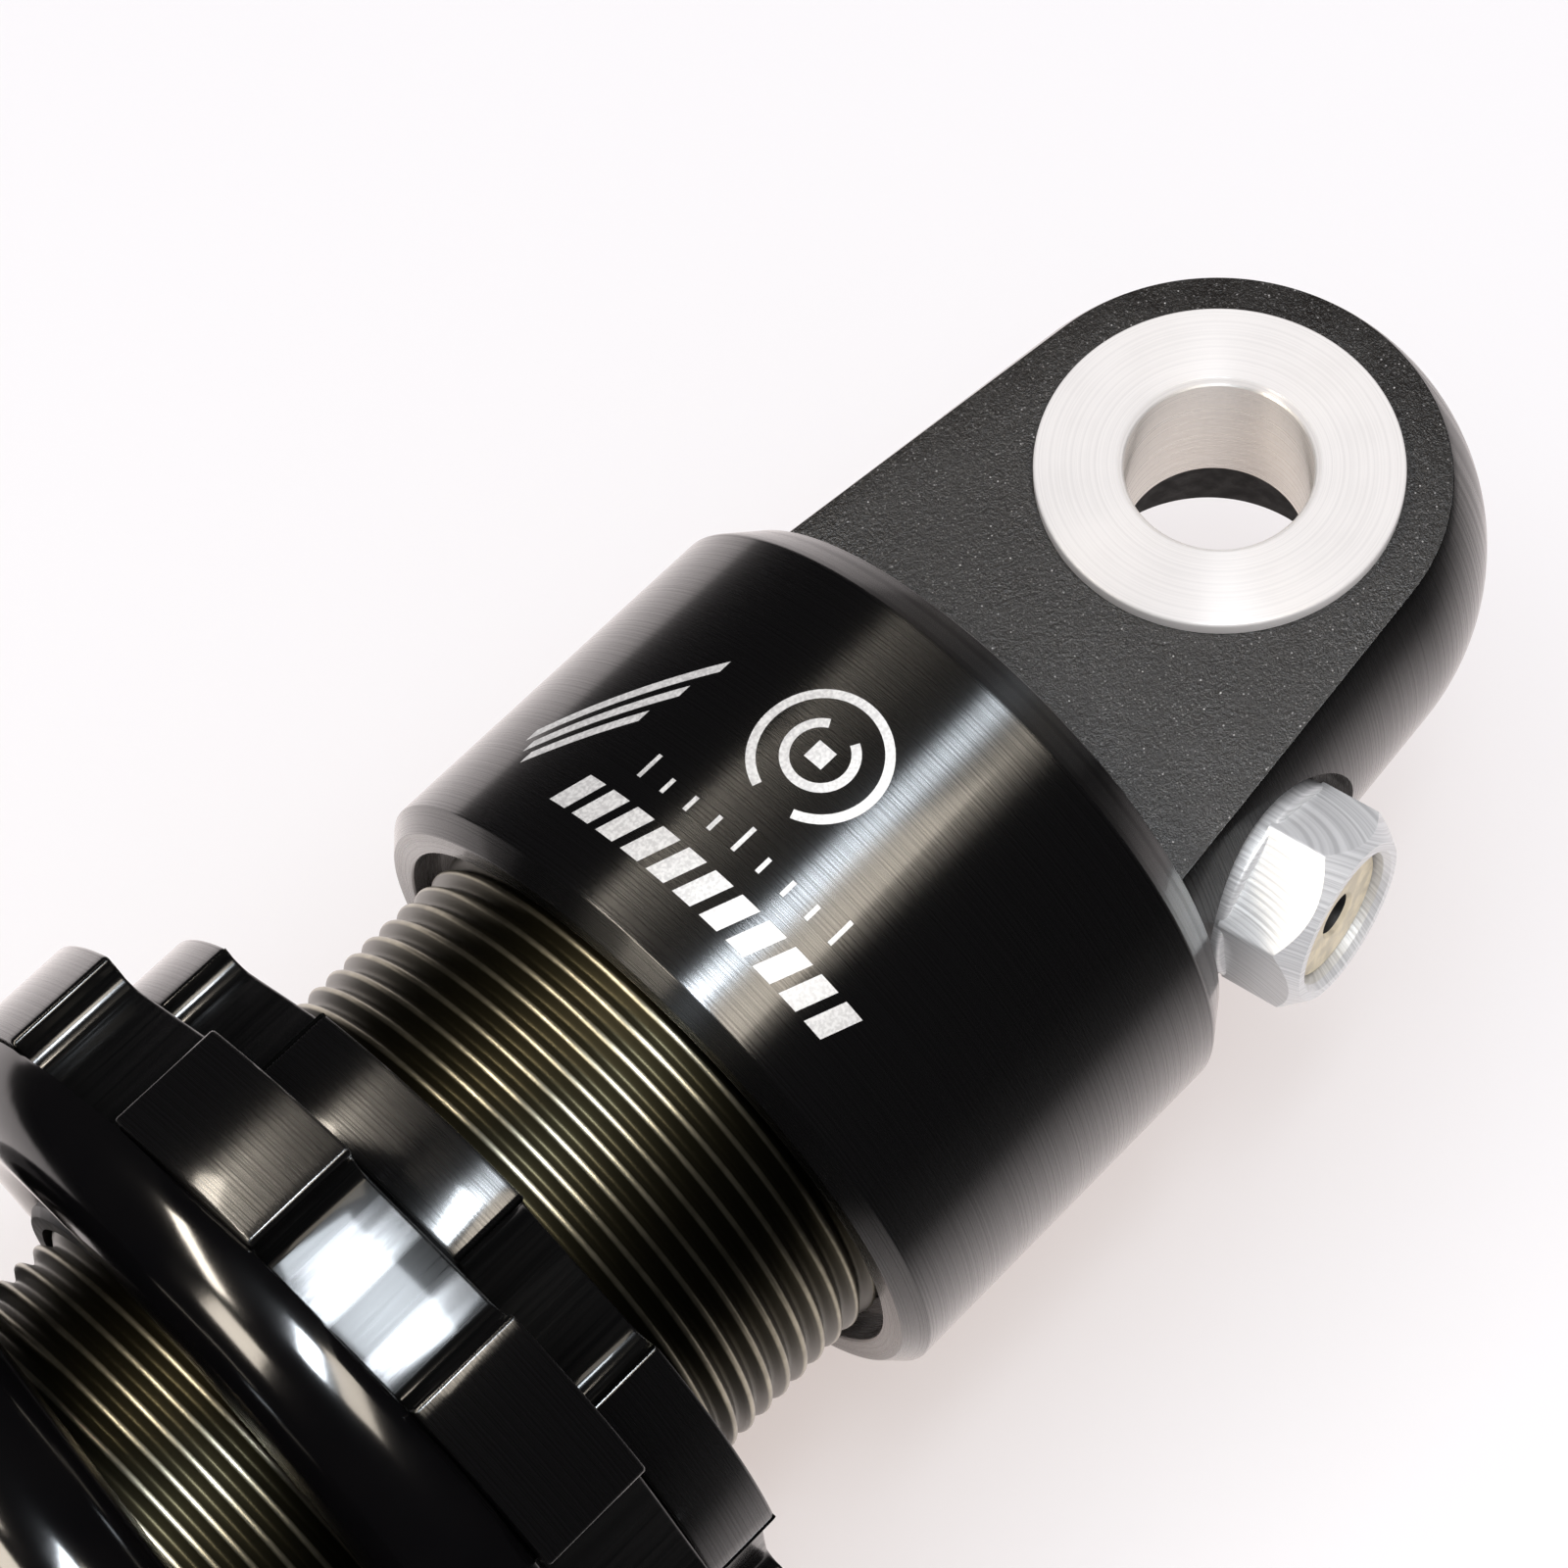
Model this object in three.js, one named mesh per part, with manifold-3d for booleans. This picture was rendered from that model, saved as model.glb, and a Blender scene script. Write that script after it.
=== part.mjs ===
// Coil-over rear shock for a bicycle, as separate pieces.
// Millimetres. The shock lies along X with its upper eye at +X; both eye bores run along Z.
// z = 0 is the plane it rests on. A "station" is a distance from the upper eye towards the lower eye.
import * as THREE from 'three';
import { mergeVertices } from 'three/addons/utils/BufferGeometryUtils.js';
import Module from 'manifold-3d';

const wasm = await Module();
wasm.setup();

// ---- Driving dimensions -------------------------------------------------------------------

const EYE_TO_EYE = 165;
const ROUND_LARGE = 32; // facets round the tube, head, collars and seats
const ROUND_SMALL = 24; // facets round the shaft and what slides on it
const ROUND_EYE = 24; // facets round the eye bores and their hardware

// Eyes and their hardware. The upper eye carries one flanged spacer and the lower eye a pair.
const EYE_DOME_RADIUS = 11.7;
const NECK_TAPER = 0.093; // radius gained per millimetre away from the eye
const FLAT_HALF = 6.4;
const BUSH_OUTER = 7.5;
const BUSH_INNER = 6.38;
const SPACER_BORE = 4.0;
const SPACER_SPIGOT = 6.3;
const SPACER_FLANGE = 7.8;
const SPACER_FACE = 7.1;

// Head.
const HEAD_RADIUS = 15.4;
const SHOULDER = 15.7;
const SHOULDER_CHAMFER = 1.25;
const HEAD_END = 35.2;
const HEAD_CHAMFER = 0.8;
const GAS_CHAMBER_END = 18.6;

// Damper tube and the gland in its lower end.
const TUBE_RADIUS = 12.5;
const TUBE_BORE = 10;
const TUBE_START = 22;
const TUBE_END = 96;
const GLAND_POCKET = 11.2;
const GLAND_START = 84.2;
const GLAND_END = 97.6;

// Collars on the tube.
const COLLAR_BORE = 12.75;
const COLLAR_RADIUS = 20.5;
const COLLAR_START = 48.4;
const COLLAR_END = 53.3;
const GUIDE_END = 56.4;
const LOCK_RADIUS = 17.5;
const LOCK_START = 44.7;
const LOCK_END = 48.1;

// Spring.
const SPRING_START = 53.4;
const SPRING_END = 141.9;
const WIRE_RADIUS = 3.1;
const COIL_RADIUS = 17.2;
const SPRING_TURNS = 7.77;
const CLOSED_PITCH = 6.35;
const TIP_SINK = 1.55; // how far the wire centre starts behind the ground end face
const SPRING_TIP_ANGLE = -40;

// Shaft assembly.
const SHAFT_RADIUS = 5;
const SHAFT_SHOULDER = 80.2;
const SHAFT_END = 151.6;
const POST_RADIUS = 3;
const POST_START = 66.5;
const NEEDLE_BORE = 1.5;

// Lower eyelet and spring seat.
const SEAT_START = 142;
const SEAT_END = 146;
const SEAT_BORE = 9;
const WHEEL_START = 152.9;
const WHEEL_END = 156.1;
const WHEEL_RADIUS = 8;

// The floor touches the flats between facets of the collar and the lower spring seat.
const AXIS_HEIGHT = COLLAR_RADIUS * Math.cos(Math.PI / ROUND_LARGE);

// ---- Shape helpers ------------------------------------------------------------------------

const xOf = (station) => EYE_TO_EYE / 2 - station;
const radians = THREE.MathUtils.degToRad;

// Shared vertices, no slivers, faces pointing out.
function tidied(geometry) {
  const plain = new THREE.BufferGeometry();
  plain.setAttribute('position', geometry.getAttribute('position'));
  if (geometry.index) plain.setIndex(geometry.index);
  const merged = mergeVertices(plain, 1e-4);
  const position = merged.getAttribute('position');
  const corners = Array.from(merged.index.array);
  const kept = [];
  let sixfoldVolume = 0;
  const [a, b, c] = [new THREE.Vector3(), new THREE.Vector3(), new THREE.Vector3()];
  for (let i = 0; i < corners.length; i += 3) {
    const [p, q, r] = corners.slice(i, i + 3);
    if (p === q || q === r || r === p) continue;
    kept.push(p, q, r);
    a.fromBufferAttribute(position, p);
    b.fromBufferAttribute(position, q);
    c.fromBufferAttribute(position, r);
    sixfoldVolume += a.dot(b.cross(c));
  }
  merged.setIndex(sixfoldVolume < 0 ? kept.reverse() : kept);
  return merged;
}

function solidOf(geometry) {
  const clean = tidied(geometry);
  return new wasm.Manifold(
    new wasm.Mesh({
      numProp: 3,
      vertProperties: new Float32Array(clean.getAttribute('position').array),
      triVerts: new Uint32Array(clean.index.array),
    }),
  );
}

function geometryOf(solid) {
  const mesh = solid.getMesh();
  const geometry = new THREE.BufferGeometry();
  geometry.setAttribute('position', new THREE.BufferAttribute(mesh.vertProperties, mesh.numProp));
  geometry.setIndex(new THREE.BufferAttribute(mesh.triVerts, 1));
  return geometry;
}

// What is left of a shape after every cutter has been taken out of it.
function cut(geometry, cutters) {
  let solid = solidOf(geometry);
  for (const cutter of cutters) solid = solid.subtract(solidOf(cutter));
  return geometryOf(solid);
}

// A profile of [station, radius] points turned about the shock's axis.
function turned(profile, facets = ROUND_SMALL) {
  const points = profile.map(([station, radius]) => new THREE.Vector2(radius, xOf(station)));
  const lathe = new THREE.LatheGeometry(points, facets, Math.PI / facets);
  return lathe.rotateZ(-Math.PI / 2);
}

// A profile of [height, radius] points turned about the Y axis.
function turnedUpright(profile, facets) {
  const points = profile.map(([height, radius]) => new THREE.Vector2(radius, height));
  return new THREE.LatheGeometry(points, facets, Math.PI / facets);
}

// A plain sleeve between two stations.
function sleeve(start, end, inner, outer, facets = ROUND_SMALL) {
  return turned([[start, inner], [start, outer], [end, outer], [end, inner], [start, inner]], facets);
}

// A ring of round section about the shock's axis.
function sealRing(station, radius, section, facets = ROUND_LARGE) {
  const sides = 6;
  const profile = [];
  for (let i = 0; i <= sides; i += 1) {
    const angle = (i / sides) * Math.PI * 2;
    profile.push([station + section * Math.sin(angle), radius + section * Math.cos(angle)]);
  }
  profile[sides] = [...profile[0]];
  return turned(profile, facets);
}

// Points of an arc in [station, radius] space, both ends included.
function arc(station, radius, size, from, to, steps) {
  const points = [];
  for (let i = 0; i <= steps; i += 1) {
    const angle = radians(from + ((to - from) * i) / steps);
    points.push([station + size * Math.cos(angle), radius + size * Math.sin(angle)]);
  }
  return points;
}

// A box from its two opposite corners.
function block([x0, y0, z0], [x1, y1, z1]) {
  const box = new THREE.BoxGeometry(Math.abs(x1 - x0), y1 - y0, z1 - z0);
  return box.translate((x0 + x1) / 2, (y0 + y1) / 2, (z0 + z1) / 2);
}

// A round bar between two points.
function bar(from, to, radius, facets) {
  const start = new THREE.Vector3(...from);
  const along = new THREE.Vector3(...to).sub(start);
  const length = along.length();
  const cylinder = new THREE.CylinderGeometry(radius, radius, length, facets);
  cylinder.translate(0, length / 2, 0);
  const turn = new THREE.Quaternion().setFromUnitVectors(new THREE.Vector3(0, 1, 0), along.normalize());
  return cylinder.applyQuaternion(turn).translate(start.x, start.y, start.z);
}

// A closed outline in the Y-Z plane pushed along X from one station to a later one.
function pushedAlongX(shape, start, end, curveSegments) {
  const solid = new THREE.ExtrudeGeometry(shape, { depth: end - start, bevelEnabled: false, curveSegments });
  // The outline's own x and y become Y and Z, and its depth runs along +X.
  solid.applyMatrix4(new THREE.Matrix4().set(0, 0, 1, 0, 1, 0, 0, 0, 0, 1, 0, 0, 0, 0, 0, 1));
  return solid.translate(xOf(end), 0, 0);
}

// ---- Materials ----------------------------------------------------------------------------

const metal = (color, roughness) => ({ color, roughness, metalness: 0.9 });
const soft = (color, roughness) => ({ color, roughness, metalness: 0 });

const BLACK_ANODISED = { color: 0x0d0d0f, roughness: 0.28, metalness: 0.6 };
const BLACK_PAINT = { color: 0x0a0a0b, roughness: 0.14, metalness: 0.1 };
const THREAD_ANODISED = { color: 0x3a372b, roughness: 0.3, metalness: 0.8 };
const BRIGHT_ALUMINIUM = metal(0xd9dbde, 0.25);
const STEEL = metal(0xb4b6ba, 0.35);
const HARD_CHROME = metal(0xd4d7dc, 0.08);
const BRONZE = metal(0x9a6b3c, 0.45);
const CREAM_RUBBER = soft(0xd9c9a0, 0.7);
const BLACK_RUBBER = soft(0x141414, 0.8);
const URETHANE = soft(0xb8862c, 0.55);
const GREY_POLYMER = soft(0x55585c, 0.6);
const RED_ANODISED = { color: 0x9c1616, roughness: 0.3, metalness: 0.8 };

const shock = new THREE.Group();
shock.position.z = AXIS_HEIGHT;

function addPiece(name, geometry, finish) {
  const clean = tidied(geometry);
  clean.computeVertexNormals();
  const mesh = new THREE.Mesh(clean, new THREE.MeshStandardMaterial(finish));
  mesh.name = name;
  shock.add(mesh);
  return mesh;
}

// ---- Eyes ---------------------------------------------------------------------------------

const NECK_AT_EYE = EYE_DOME_RADIUS * Math.sqrt(1 + NECK_TAPER ** 2);
const neckRadius = (distance) => NECK_AT_EYE + NECK_TAPER * distance;

// The domed end and tapered neck as [distance from the eye, radius], from the tip to the shoulder.
function neckProfile(shoulder) {
  const tangent = 90 + THREE.MathUtils.radToDeg(Math.atan(NECK_TAPER));
  const dome = arc(0, 0, EYE_DOME_RADIUS, 180, tangent, 9);
  dome[0][1] = 0;
  return [...dome, [shoulder, neckRadius(shoulder)]];
}

// Cutters for one eye: the two flats and the bush's bore. "inward" is -1 where the shock lies towards -X.
function eyeCutters(eyeX, inward, shoulder) {
  const outerX = eyeX - inward * 20;
  const shoulderX = eyeX + inward * shoulder;
  const [low, high] = [Math.min(outerX, shoulderX), Math.max(outerX, shoulderX)];
  return [
    block([low, -30, FLAT_HALF], [high, 30, 30]),
    block([low, -30, -30], [high, 30, -FLAT_HALF]),
    upright(turnedUpright([[-12, 0], [-12, BUSH_OUTER + 0.02], [12, BUSH_OUTER + 0.02], [12, 0]], ROUND_EYE), eyeX),
  ];
}

// Stands a shape turned about Y on the eye's bore axis instead.
function upright(geometry, eyeX) {
  return geometry.rotateX(Math.PI / 2).translate(eyeX, 0, 0);
}

function addEyeHardware(end, eyeX, sides) {
  const bushHalf = FLAT_HALF - 0.1;
  const bush = turnedUpright(
    [[-bushHalf, BUSH_INNER], [-bushHalf, BUSH_OUTER], [bushHalf, BUSH_OUTER], [bushHalf, BUSH_INNER],
      [-bushHalf, BUSH_INNER]],
    ROUND_EYE,
  );
  addPiece(`${end}_bush`, upright(bush, eyeX), BRONZE);

  const underFlange = FLAT_HALF + 0.02;
  const spacerProfile = [
    [0.12, SPACER_BORE],
    [0.12, SPACER_SPIGOT - 0.3],
    [0.42, SPACER_SPIGOT],
    [underFlange, SPACER_SPIGOT],
    [underFlange, SPACER_FLANGE],
    [SPACER_FACE - 0.15, SPACER_FLANGE],
    [SPACER_FACE, SPACER_FLANGE - 0.15],
    [SPACER_FACE, SPACER_BORE + 0.25],
    [SPACER_FACE - 0.25, SPACER_BORE],
    [0.12, SPACER_BORE],
  ];
  for (const side of sides) {
    const spacer = turnedUpright(spacerProfile, ROUND_EYE);
    if (side === 'bottom') spacer.rotateX(Math.PI);
    addPiece(`${end}_spacer_${side}`, upright(spacer, eyeX), BRIGHT_ALUMINIUM);
  }
}

// ---- Gas valve frame ----------------------------------------------------------------------

// The valve stands on the neck's -Y side. Its own +Y is its axis and its origin is its seat.
const VALVE_STATION = 10.4;
const VALVE_SEAT_Y = -11.75;
const VALVE_LEAN = radians(8); // towards the eye
const VALVE_LIFT = radians(5); // upwards
const VALVE_FLANGE = 4.5;
const valveAxis = new THREE.Vector3(
  Math.sin(VALVE_LEAN),
  -Math.cos(VALVE_LEAN) * Math.cos(VALVE_LIFT),
  Math.cos(VALVE_LEAN) * Math.sin(VALVE_LIFT),
);
const valvePlacement = new THREE.Matrix4().makeBasis(
  valveAxis.clone().cross(new THREE.Vector3(0, 0, 1)).normalize(),
  valveAxis,
  valveAxis.clone().cross(new THREE.Vector3(0, 0, 1)).normalize().cross(valveAxis),
);
valvePlacement.setPosition(xOf(VALVE_STATION), VALVE_SEAT_Y, 0);
const onValve = (geometry) => geometry.applyMatrix4(valvePlacement);

// ---- Head ---------------------------------------------------------------------------------

const headProfile = [
  ...neckProfile(SHOULDER),
  [SHOULDER, HEAD_RADIUS - SHOULDER_CHAMFER - 0.1],
  [SHOULDER + 0.15, HEAD_RADIUS - SHOULDER_CHAMFER + 0.1],
  [SHOULDER + 1.75, HEAD_RADIUS],
  [HEAD_END - HEAD_CHAMFER, HEAD_RADIUS],
  [HEAD_END, HEAD_RADIUS - HEAD_CHAMFER],
  [HEAD_END, 13.5],
  [HEAD_END - 1.5, 13.4],
  [HEAD_END - 1.5, TUBE_RADIUS + 0.05],
  [TUBE_START - 0.3, TUBE_RADIUS + 0.05],
  [TUBE_START - 0.3, TUBE_BORE],
  [GAS_CHAMBER_END, TUBE_BORE],
  [GAS_CHAMBER_END, 0],
];
const GAS_PASSAGE_Y = -3.4;
const headCutters = [
  ...eyeCutters(xOf(0), -1, SHOULDER),
  onValve(turnedUpright([[0, 0], [0, 5.2], [12, 5.2], [12, 0]], ROUND_SMALL)),
  onValve(turnedUpright([[-1.05, 0], [-1.05, 3.75], [1, 3.75], [1, 0]], ROUND_SMALL)),
  onValve(turnedUpright([[-8.9, 0], [-8.9, 2.55], [1, 2.55], [1, 0]], ROUND_SMALL)),
  bar([xOf(11.8), GAS_PASSAGE_Y, 0], [xOf(GAS_CHAMBER_END + 1), GAS_PASSAGE_Y, 0], 1, 12),
];
addPiece('upper_head', cut(turned(headProfile, ROUND_LARGE), headCutters), BLACK_ANODISED);
addEyeHardware('upper', xOf(0), ['top']);

// ---- Gas valve ----------------------------------------------------------------------------

const VALVE_TOP = 4.3;
const HEX_CORNER = 4.62;
const FLANGE_THICK = 0.8;
const hexagon = turnedUpright([[FLANGE_THICK - 0.2, 0], [FLANGE_THICK - 0.2, HEX_CORNER], [VALVE_TOP, HEX_CORNER],
  [VALVE_TOP, 0]], 6).rotateY(Math.PI / 6);
const hexEnvelope = turnedUpright([
  [0.1, 0],
  [0.1, HEX_CORNER + 0.1],
  [VALVE_TOP - 1.15, HEX_CORNER + 0.1],
  [VALVE_TOP, HEX_CORNER - 0.9],
  [VALVE_TOP, 0],
], ROUND_SMALL);
const valveShank = turnedUpright([
  [-8.2, 0],
  [-8.2, 2.15],
  [-7.9, 2.45],
  [0.03, 2.45],
  [0.03, VALVE_FLANGE - 0.1],
  [0.15, VALVE_FLANGE],
  [FLANGE_THICK - 0.15, VALVE_FLANGE],
  [FLANGE_THICK, VALVE_FLANGE - 0.2],
  [FLANGE_THICK, 0],
], ROUND_EYE);
const valveHollow = turnedUpright([
  [-9, 0],
  [-9, 0.9],
  [2.4, 0.9],
  [2.4, 3.1],
  [VALVE_TOP - 0.3, 3.1],
  [VALVE_TOP + 0.1, 3.5],
  [VALVE_TOP + 0.1, 0],
], ROUND_SMALL);
const valveBody = solidOf(hexagon).intersect(solidOf(hexEnvelope)).add(solidOf(valveShank));
addPiece('gas_valve', onValve(geometryOf(valveBody.subtract(solidOf(valveHollow)))), BRIGHT_ALUMINIUM);

const plugProfile = [[2.45, 0], [2.45, 2.98], [3.7, 2.98], [3.85, 2.8], [3.85, 1.05], [3.0, 0.85], [3.0, 0]];
addPiece('valve_plug', onValve(turnedUpright(plugProfile, ROUND_SMALL)), CREAM_RUBBER);

const valveSealProfile = [];
for (let i = 0; i <= 6; i += 1) {
  const angle = ((i % 6) / 6) * Math.PI * 2;
  valveSealProfile.push([-0.52 + 0.42 * Math.sin(angle), 3.12 + 0.42 * Math.cos(angle)]);
}
addPiece('valve_seal', onValve(turnedUpright(valveSealProfile, ROUND_SMALL)), BLACK_RUBBER);

// ---- Damper tube, floating piston and gland -----------------------------------------------

addPiece('damper_tube', turned([
  [TUBE_START, TUBE_BORE],
  [TUBE_START, TUBE_RADIUS - 0.5],
  [TUBE_START + 0.5, TUBE_RADIUS],
  [24.2, TUBE_RADIUS],
  [24.2, 11.55],
  [25.6, 11.55],
  [25.6, TUBE_RADIUS],
  [TUBE_END - 0.6, TUBE_RADIUS],
  [TUBE_END, TUBE_RADIUS - 0.6],
  [TUBE_END, GLAND_POCKET],
  [GLAND_START - 0.2, GLAND_POCKET],
  [GLAND_START - 0.2, TUBE_BORE],
  [TUBE_START, TUBE_BORE],
], ROUND_LARGE), THREAD_ANODISED);
addPiece('head_seal', sealRing(24.9, 12.03, 0.44), BLACK_RUBBER);

addPiece('floating_piston', turned([
  [36, 0],
  [36, 7],
  [33, 7.4],
  [33, 9.6],
  [33.3, 9.9],
  [35.4, 9.9],
  [35.4, 9.0],
  [36.6, 9.0],
  [36.6, 9.9],
  [38.7, 9.9],
  [39, 9.6],
  [39, 0],
], ROUND_LARGE), BRIGHT_ALUMINIUM);
addPiece('floating_piston_ring', sealRing(36, 9.46, 0.42), BLACK_RUBBER);

addPiece('seal_head', turned([
  [GLAND_START, 5.12],
  [GLAND_START, 10.85],
  [GLAND_START + 0.3, 11.15],
  [87.4, 11.15],
  [87.4, 10.35],
  [88.8, 10.35],
  [88.8, 11.15],
  [TUBE_END + 0.1, 11.15],
  [TUBE_END + 0.1, 12.3],
  [GLAND_END - 0.4, 12.3],
  [GLAND_END, 11.9],
  [GLAND_END, 7.25],
  [91.2, 7.25],
  [91.2, 6.05],
  [85.4, 6.05],
  [85.4, 5.12],
  [GLAND_START, 5.12],
], ROUND_LARGE), BLACK_ANODISED);
addPiece('gland_seal', sealRing(88.1, 10.75, 0.38), BLACK_RUBBER);
addPiece('shaft_bearing', sleeve(85.5, 91.1, 5.06, 6.0), BRONZE);
addPiece('shaft_seal', turned([
  [91.35, 5.3],
  [91.35, 6.9],
  [91.65, 7.2],
  [93.8, 7.2],
  [93.8, 6.6],
  [92.7, 6.2],
  [93.8, 5.8],
  [93.8, 5.06],
  [91.6, 5.06],
  [91.35, 5.3],
]), GREY_POLYMER);
addPiece('dust_wiper', turned([
  [94.1, 5.3],
  [94.1, 7.2],
  [GLAND_END - 0.1, 7.2],
  [GLAND_END - 0.1, 6.4],
  [GLAND_END + 0.6, 5.5],
  [GLAND_END + 0.6, 5.06],
  [GLAND_END - 0.6, 5.3],
  [94.1, 5.3],
]), BLACK_RUBBER);

// ---- Collars ------------------------------------------------------------------------------

// A castellated ring: "floor" is the flat bottom of each milled notch, measured from the axis.
function castellated({ start, end, outer, floor, teeth, notchWidth, toothAngle }) {
  const chamfer = 0.4;
  const ring = turned([
    [start, COLLAR_BORE],
    [start, outer - chamfer],
    [start + chamfer, outer],
    [end - chamfer, outer],
    [end, outer - chamfer],
    [end, COLLAR_BORE],
    [start, COLLAR_BORE],
  ], ROUND_LARGE);
  const half = notchWidth / 2;
  const corner = 0.9;
  const notch = new THREE.Shape();
  notch.moveTo(half, outer + 2);
  notch.lineTo(half, floor + corner);
  notch.absarc(half - corner, floor + corner, corner, 0, -Math.PI / 2, true);
  notch.lineTo(corner - half, floor);
  notch.absarc(corner - half, floor + corner, corner, -Math.PI / 2, -Math.PI, true);
  notch.lineTo(-half, outer + 2);
  notch.closePath();
  const cutters = [];
  for (let i = 0; i < teeth; i += 1) {
    const middle = toothAngle + (360 * (i + 0.5)) / teeth;
    const cutter = pushedAlongX(notch, start - 1, end + 1, 2);
    cutters.push(cutter.rotateX(radians(middle - 90)));
  }
  return cut(ring, cutters);
}

addPiece('lock_ring', castellated({
  start: LOCK_START,
  end: LOCK_END,
  outer: LOCK_RADIUS,
  floor: 16.2,
  teeth: 6,
  notchWidth: 7.2,
  toothAngle: 90.5,
}), BLACK_ANODISED);
addPiece('preload_collar', castellated({
  start: COLLAR_START,
  end: COLLAR_END,
  outer: COLLAR_RADIUS,
  floor: 18.6,
  teeth: 8,
  notchWidth: 8,
  toothAngle: 82.1,
}), BLACK_ANODISED);
addPiece('spring_guide', turned([
  [COLLAR_END + 0.05, COLLAR_BORE],
  [COLLAR_END + 0.05, 13.7],
  [GUIDE_END - 0.3, 13.7],
  [GUIDE_END, 13.4],
  [GUIDE_END, COLLAR_BORE],
  [COLLAR_END + 0.05, COLLAR_BORE],
], ROUND_LARGE), GREY_POLYMER);

// ---- Main spring --------------------------------------------------------------------------

// The pitch eases from closed end turns to open middle turns, so the wire's path is summed in small steps.
class SpringPath extends THREE.Curve {
  constructor() {
    super();
    this.steps = 800;
    const openness = [];
    for (let i = 0; i < this.steps; i += 1) {
      const turn = ((i + 0.5) / this.steps) * SPRING_TURNS;
      const fromEnd = Math.min(turn, SPRING_TURNS - turn);
      openness.push(THREE.MathUtils.smoothstep(fromEnd, 0.45, 0.85));
    }
    const stepTurns = SPRING_TURNS / this.steps;
    const openTurns = openness.reduce((sum, value) => sum + value * stepTurns, 0);
    const travel = SPRING_END - SPRING_START + 2 * TIP_SINK;
    const extraPitch = (travel - SPRING_TURNS * CLOSED_PITCH) / openTurns;
    this.stations = [SPRING_START - TIP_SINK];
    for (const value of openness) {
      const pitch = CLOSED_PITCH + extraPitch * value;
      this.stations.push(this.stations.at(-1) + pitch * stepTurns);
    }
  }

  getPoint(t, target = new THREE.Vector3()) {
    const place = t * this.steps;
    const index = Math.min(Math.floor(place), this.steps - 1);
    const station = THREE.MathUtils.lerp(this.stations[index], this.stations[index + 1], place - index);
    const angle = radians(SPRING_TIP_ANGLE) + t * SPRING_TURNS * Math.PI * 2;
    return target.set(xOf(station), COIL_RADIUS * Math.cos(angle), COIL_RADIUS * Math.sin(angle));
  }
}

const wireSection = new THREE.Shape();
wireSection.absarc(0, 0, WIRE_RADIUS, 0, Math.PI * 2, false);
const wire = new THREE.ExtrudeGeometry(wireSection, {
  steps: Math.round(SPRING_TURNS * 20),
  curveSegments: 4,
  extrudePath: new SpringPath(),
});
const groundEnds = block([xOf(SPRING_END), -30, -30], [xOf(SPRING_START), 30, 30]);
addPiece('main_spring', geometryOf(solidOf(wire).intersect(solidOf(groundEnds))), BLACK_PAINT);

// ---- Shaft and piston ---------------------------------------------------------------------

const shaftBar = turned([
  [POST_START, 0.7],
  [POST_START, POST_RADIUS - 0.3],
  [POST_START + 0.3, POST_RADIUS],
  [SHAFT_SHOULDER, POST_RADIUS],
  [SHAFT_SHOULDER, SHAFT_RADIUS],
  [SHAFT_END, SHAFT_RADIUS],
  [SHAFT_END, NEEDLE_BORE],
  [70.5, NEEDLE_BORE],
  [70, 0.7],
  [POST_START, 0.7],
]);
const bleedPort = bar([xOf(82.2), -6, 0], [xOf(82.2), 6, 0], 0.7, 8);
addPiece('shaft', cut(shaftBar, [bleedPort]), HARD_CHROME);

const PISTON_START = 73.8;
const PISTON_END = 78.8;
const pistonDisc = turned([
  [PISTON_START, 3.05],
  [PISTON_START, 9.6],
  [PISTON_START + 0.3, 9.9],
  [74.7, 9.9],
  [74.7, 9.35],
  [77.9, 9.35],
  [77.9, 9.9],
  [PISTON_END - 0.3, 9.9],
  [PISTON_END, 9.6],
  [PISTON_END, 3.05],
  [PISTON_START, 3.05],
], ROUND_LARGE);
const portCutters = [];
for (let i = 0; i < 6; i += 1) {
  const angle = radians(60 * i);
  const [y, z] = [6.2 * Math.cos(angle), 6.2 * Math.sin(angle)];
  portCutters.push(bar([xOf(PISTON_END + 1), y, z], [xOf(PISTON_START - 1), y, z], 1.1, 8));
}
addPiece('piston', cut(pistonDisc, portCutters), BRIGHT_ALUMINIUM);
addPiece('piston_band', sleeve(74.8, 77.8, 9.42, 9.93, ROUND_LARGE), BRONZE);

const SHIM_THICK = 0.28;
const SHIM_STEP = 0.33;
for (let i = 0; i < 3; i += 1) {
  const radius = 8.2 - 1.3 * i;
  const above = PISTON_START - 0.05 - SHIM_STEP * i;
  const below = PISTON_END + 0.05 + SHIM_STEP * i;
  addPiece(`compression_shim_${i + 1}`, sleeve(above - SHIM_THICK, above, 3.05, radius), STEEL);
  addPiece(`rebound_shim_${i + 1}`, sleeve(below, below + SHIM_THICK, 3.05, radius), STEEL);
}

const nutHex = turned([[68.6, 0], [68.6, 5.2], [72.6, 5.2], [72.6, 0]], 6);
addPiece('piston_nut', cut(nutHex, [sleeveBore(68, 73, 3.06)]), STEEL);
addPiece('top_out_ring', sleeve(80.4, 84.1, 5.08, 7.4), URETHANE);

// A solid plug the size of a bore, to cut one.
function sleeveBore(start, end, radius) {
  return turned([[start, 0], [start, radius], [end, radius], [end, 0]]);
}

addPiece('bump_stop', turned([
  [134.4, 5.1],
  [134.4, 6.4],
  ...arc(135.6, 6.4, 1.2, 180, 90, 3),
  [137.4, 7.2],
  [138.4, 7.0],
  [139.4, 7.6],
  ...arc(140.6, 7.6, 1.2, 180, 90, 3),
  [142.35, 8.8],
  [142.35, 5.1],
  [134.4, 5.1],
]), URETHANE);

// ---- Lower spring seat --------------------------------------------------------------------

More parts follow.
